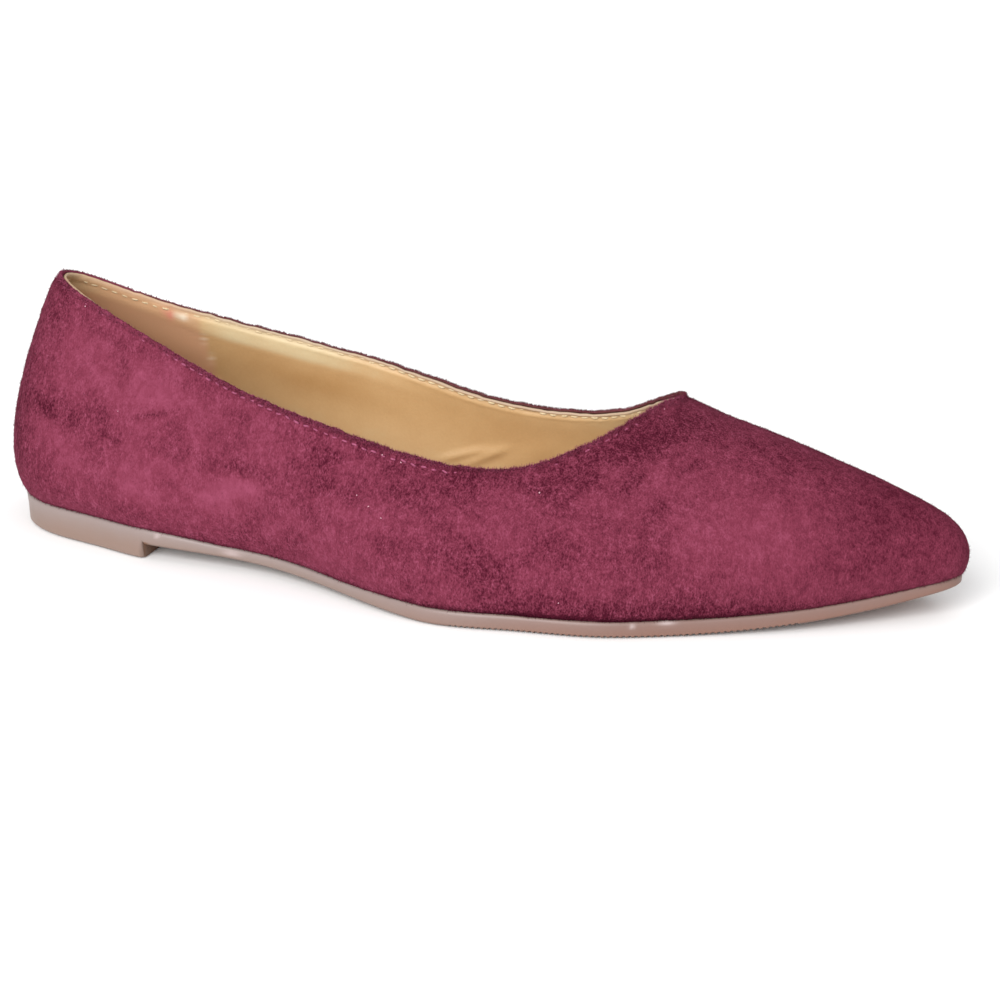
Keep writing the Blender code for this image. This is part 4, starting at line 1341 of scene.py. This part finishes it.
# painted shade on the heel's front face, low down
breast_painted_shade = (ring_x > HEEL_BREAST - WELD) & (ring_x < HEEL_BREAST + 2 * BREAST_DRAFT)
low_rings = np.arange(len(sole_rings)) < len(RING_SHARES) + LOW_RINGS
smeared_and_glinting = np.zeros((len(ring_x), len(sole_rings)))
for smear_and_glint in SMEARS_AND_GLINTS:
    along = near(ring_x - smear_and_glint.x, smear_and_glint.length) * on_outer_side
    smeared_and_glinting += np.outer(along, near(np.array(sole_climb) - smear_and_glint.up, smear_and_glint.height))
sole_values = [
    ("up", np.tile(sole_climb, len(ring_x))),
    ("front", np.repeat(smooth_step(ring_x, *FRONT_SOLE), len(sole_rings))),
    ("shade", np.outer(breast_painted_shade, low_rings).reshape(-1).astype(float)),
    ("smear_and_glint", np.clip(smeared_and_glinting, 0, 1).reshape(-1)),
]
outsole = rings_piece("outsole_rubber", sole_rings, rubber_material(), sole_values)
outsole.data.set_sharp_from_angle(angle=SHARP_ANGLE)
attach(outsole, "root")
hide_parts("outsole")


# Floor, light and camera
# A pale floor in a white surround, under soft studio light: a broad sun from the front left and a weaker one
# from above.
FLOOR_HALF = 3.0
FLOOR_DROP = 0.0002
floor_corners = FLOOR_HALF * np.array([(-1, -1, 0), (1, -1, 0), (1, 1, 0), (-1, 1, 0)])
floor_mesh = bpy.data.meshes.new("floor")
floor_mesh.from_pydata(floor_corners - (0, 0, FLOOR_DROP), [], [(0, 1, 2, 3)])
floor_mesh.materials.append(Finish("floor").coat((0.92, 0.92, 0.92), roughness=0.9, specular=0.5))
floor = bpy.data.objects.new("floor", floor_mesh)
bpy.context.scene.collection.objects.link(floor)

world = bpy.data.worlds.new("studio")
world.use_nodes = True
surround = world.node_tree.nodes["Background"]
surround.inputs["Color"].default_value = (1, 1, 1, 1)
surround.inputs["Strength"].default_value = 0.6
bpy.context.scene.world = world

AZIMUTH, ELEVATION, ROLL = np.radians((21.9, 19.8, -0.25))
DISTANCE = 1.2
FOCUS = 4.757           # focal length as a share of the picture's width
SENSOR = 36
AIM = np.array([0.1316, -0.0012, 0.0197])   # what lies in the middle of the picture, in the last's frame
level_back = np.array([np.sin(AZIMUTH), -np.cos(AZIMUTH), 0])
back = level_back * np.cos(ELEVATION) + (0, 0, np.sin(ELEVATION))
right = np.array([np.cos(AZIMUTH), np.sin(AZIMUTH), 0])
upward = np.cross(back, right)

# Suns: direction as shares to the left, up and towards the camera, spread in degrees, and power
Light = namedtuple("Light", "name left up near spread power")
LIGHTS = [
    Light("front_left", 0.40, 0.60, 1.00, 40, 3.6),
    Light("above", -0.1, 1.0, 0.1, 60, 0.5),
]
for light in LIGHTS:
    lamp = bpy.data.lights.new(light.name, "SUN")
    lamp.angle = np.radians(light.spread)
    lamp.energy = light.power
    holder = bpy.data.objects.new(light.name, lamp)
    place = -right * light.left + level_back * light.near + (0, 0, light.up)
    holder.location = place
    holder.rotation_euler = Vector(-place).to_track_quat("-Z", "Y").to_euler()
    bpy.context.scene.collection.objects.link(holder)

camera = bpy.data.cameras.new("camera")
camera.sensor_width = SENSOR
camera.lens = FOCUS * SENSOR
eye = bpy.data.objects.new("camera", camera)
turned = np.eye(4)
turned[:3, 0] = right * np.cos(ROLL) - upward * np.sin(ROLL)
turned[:3, 1] = upward * np.cos(ROLL) + right * np.sin(ROLL)
turned[:3, 2] = back
turned[:3, 3] = AIM + PART_SHIFT + back * DISTANCE
eye.matrix_world = Matrix(turned.tolist())
bpy.context.scene.collection.objects.link(eye)
bpy.context.scene.camera = eye
bpy.context.scene.view_settings.view_transform = "Standard"
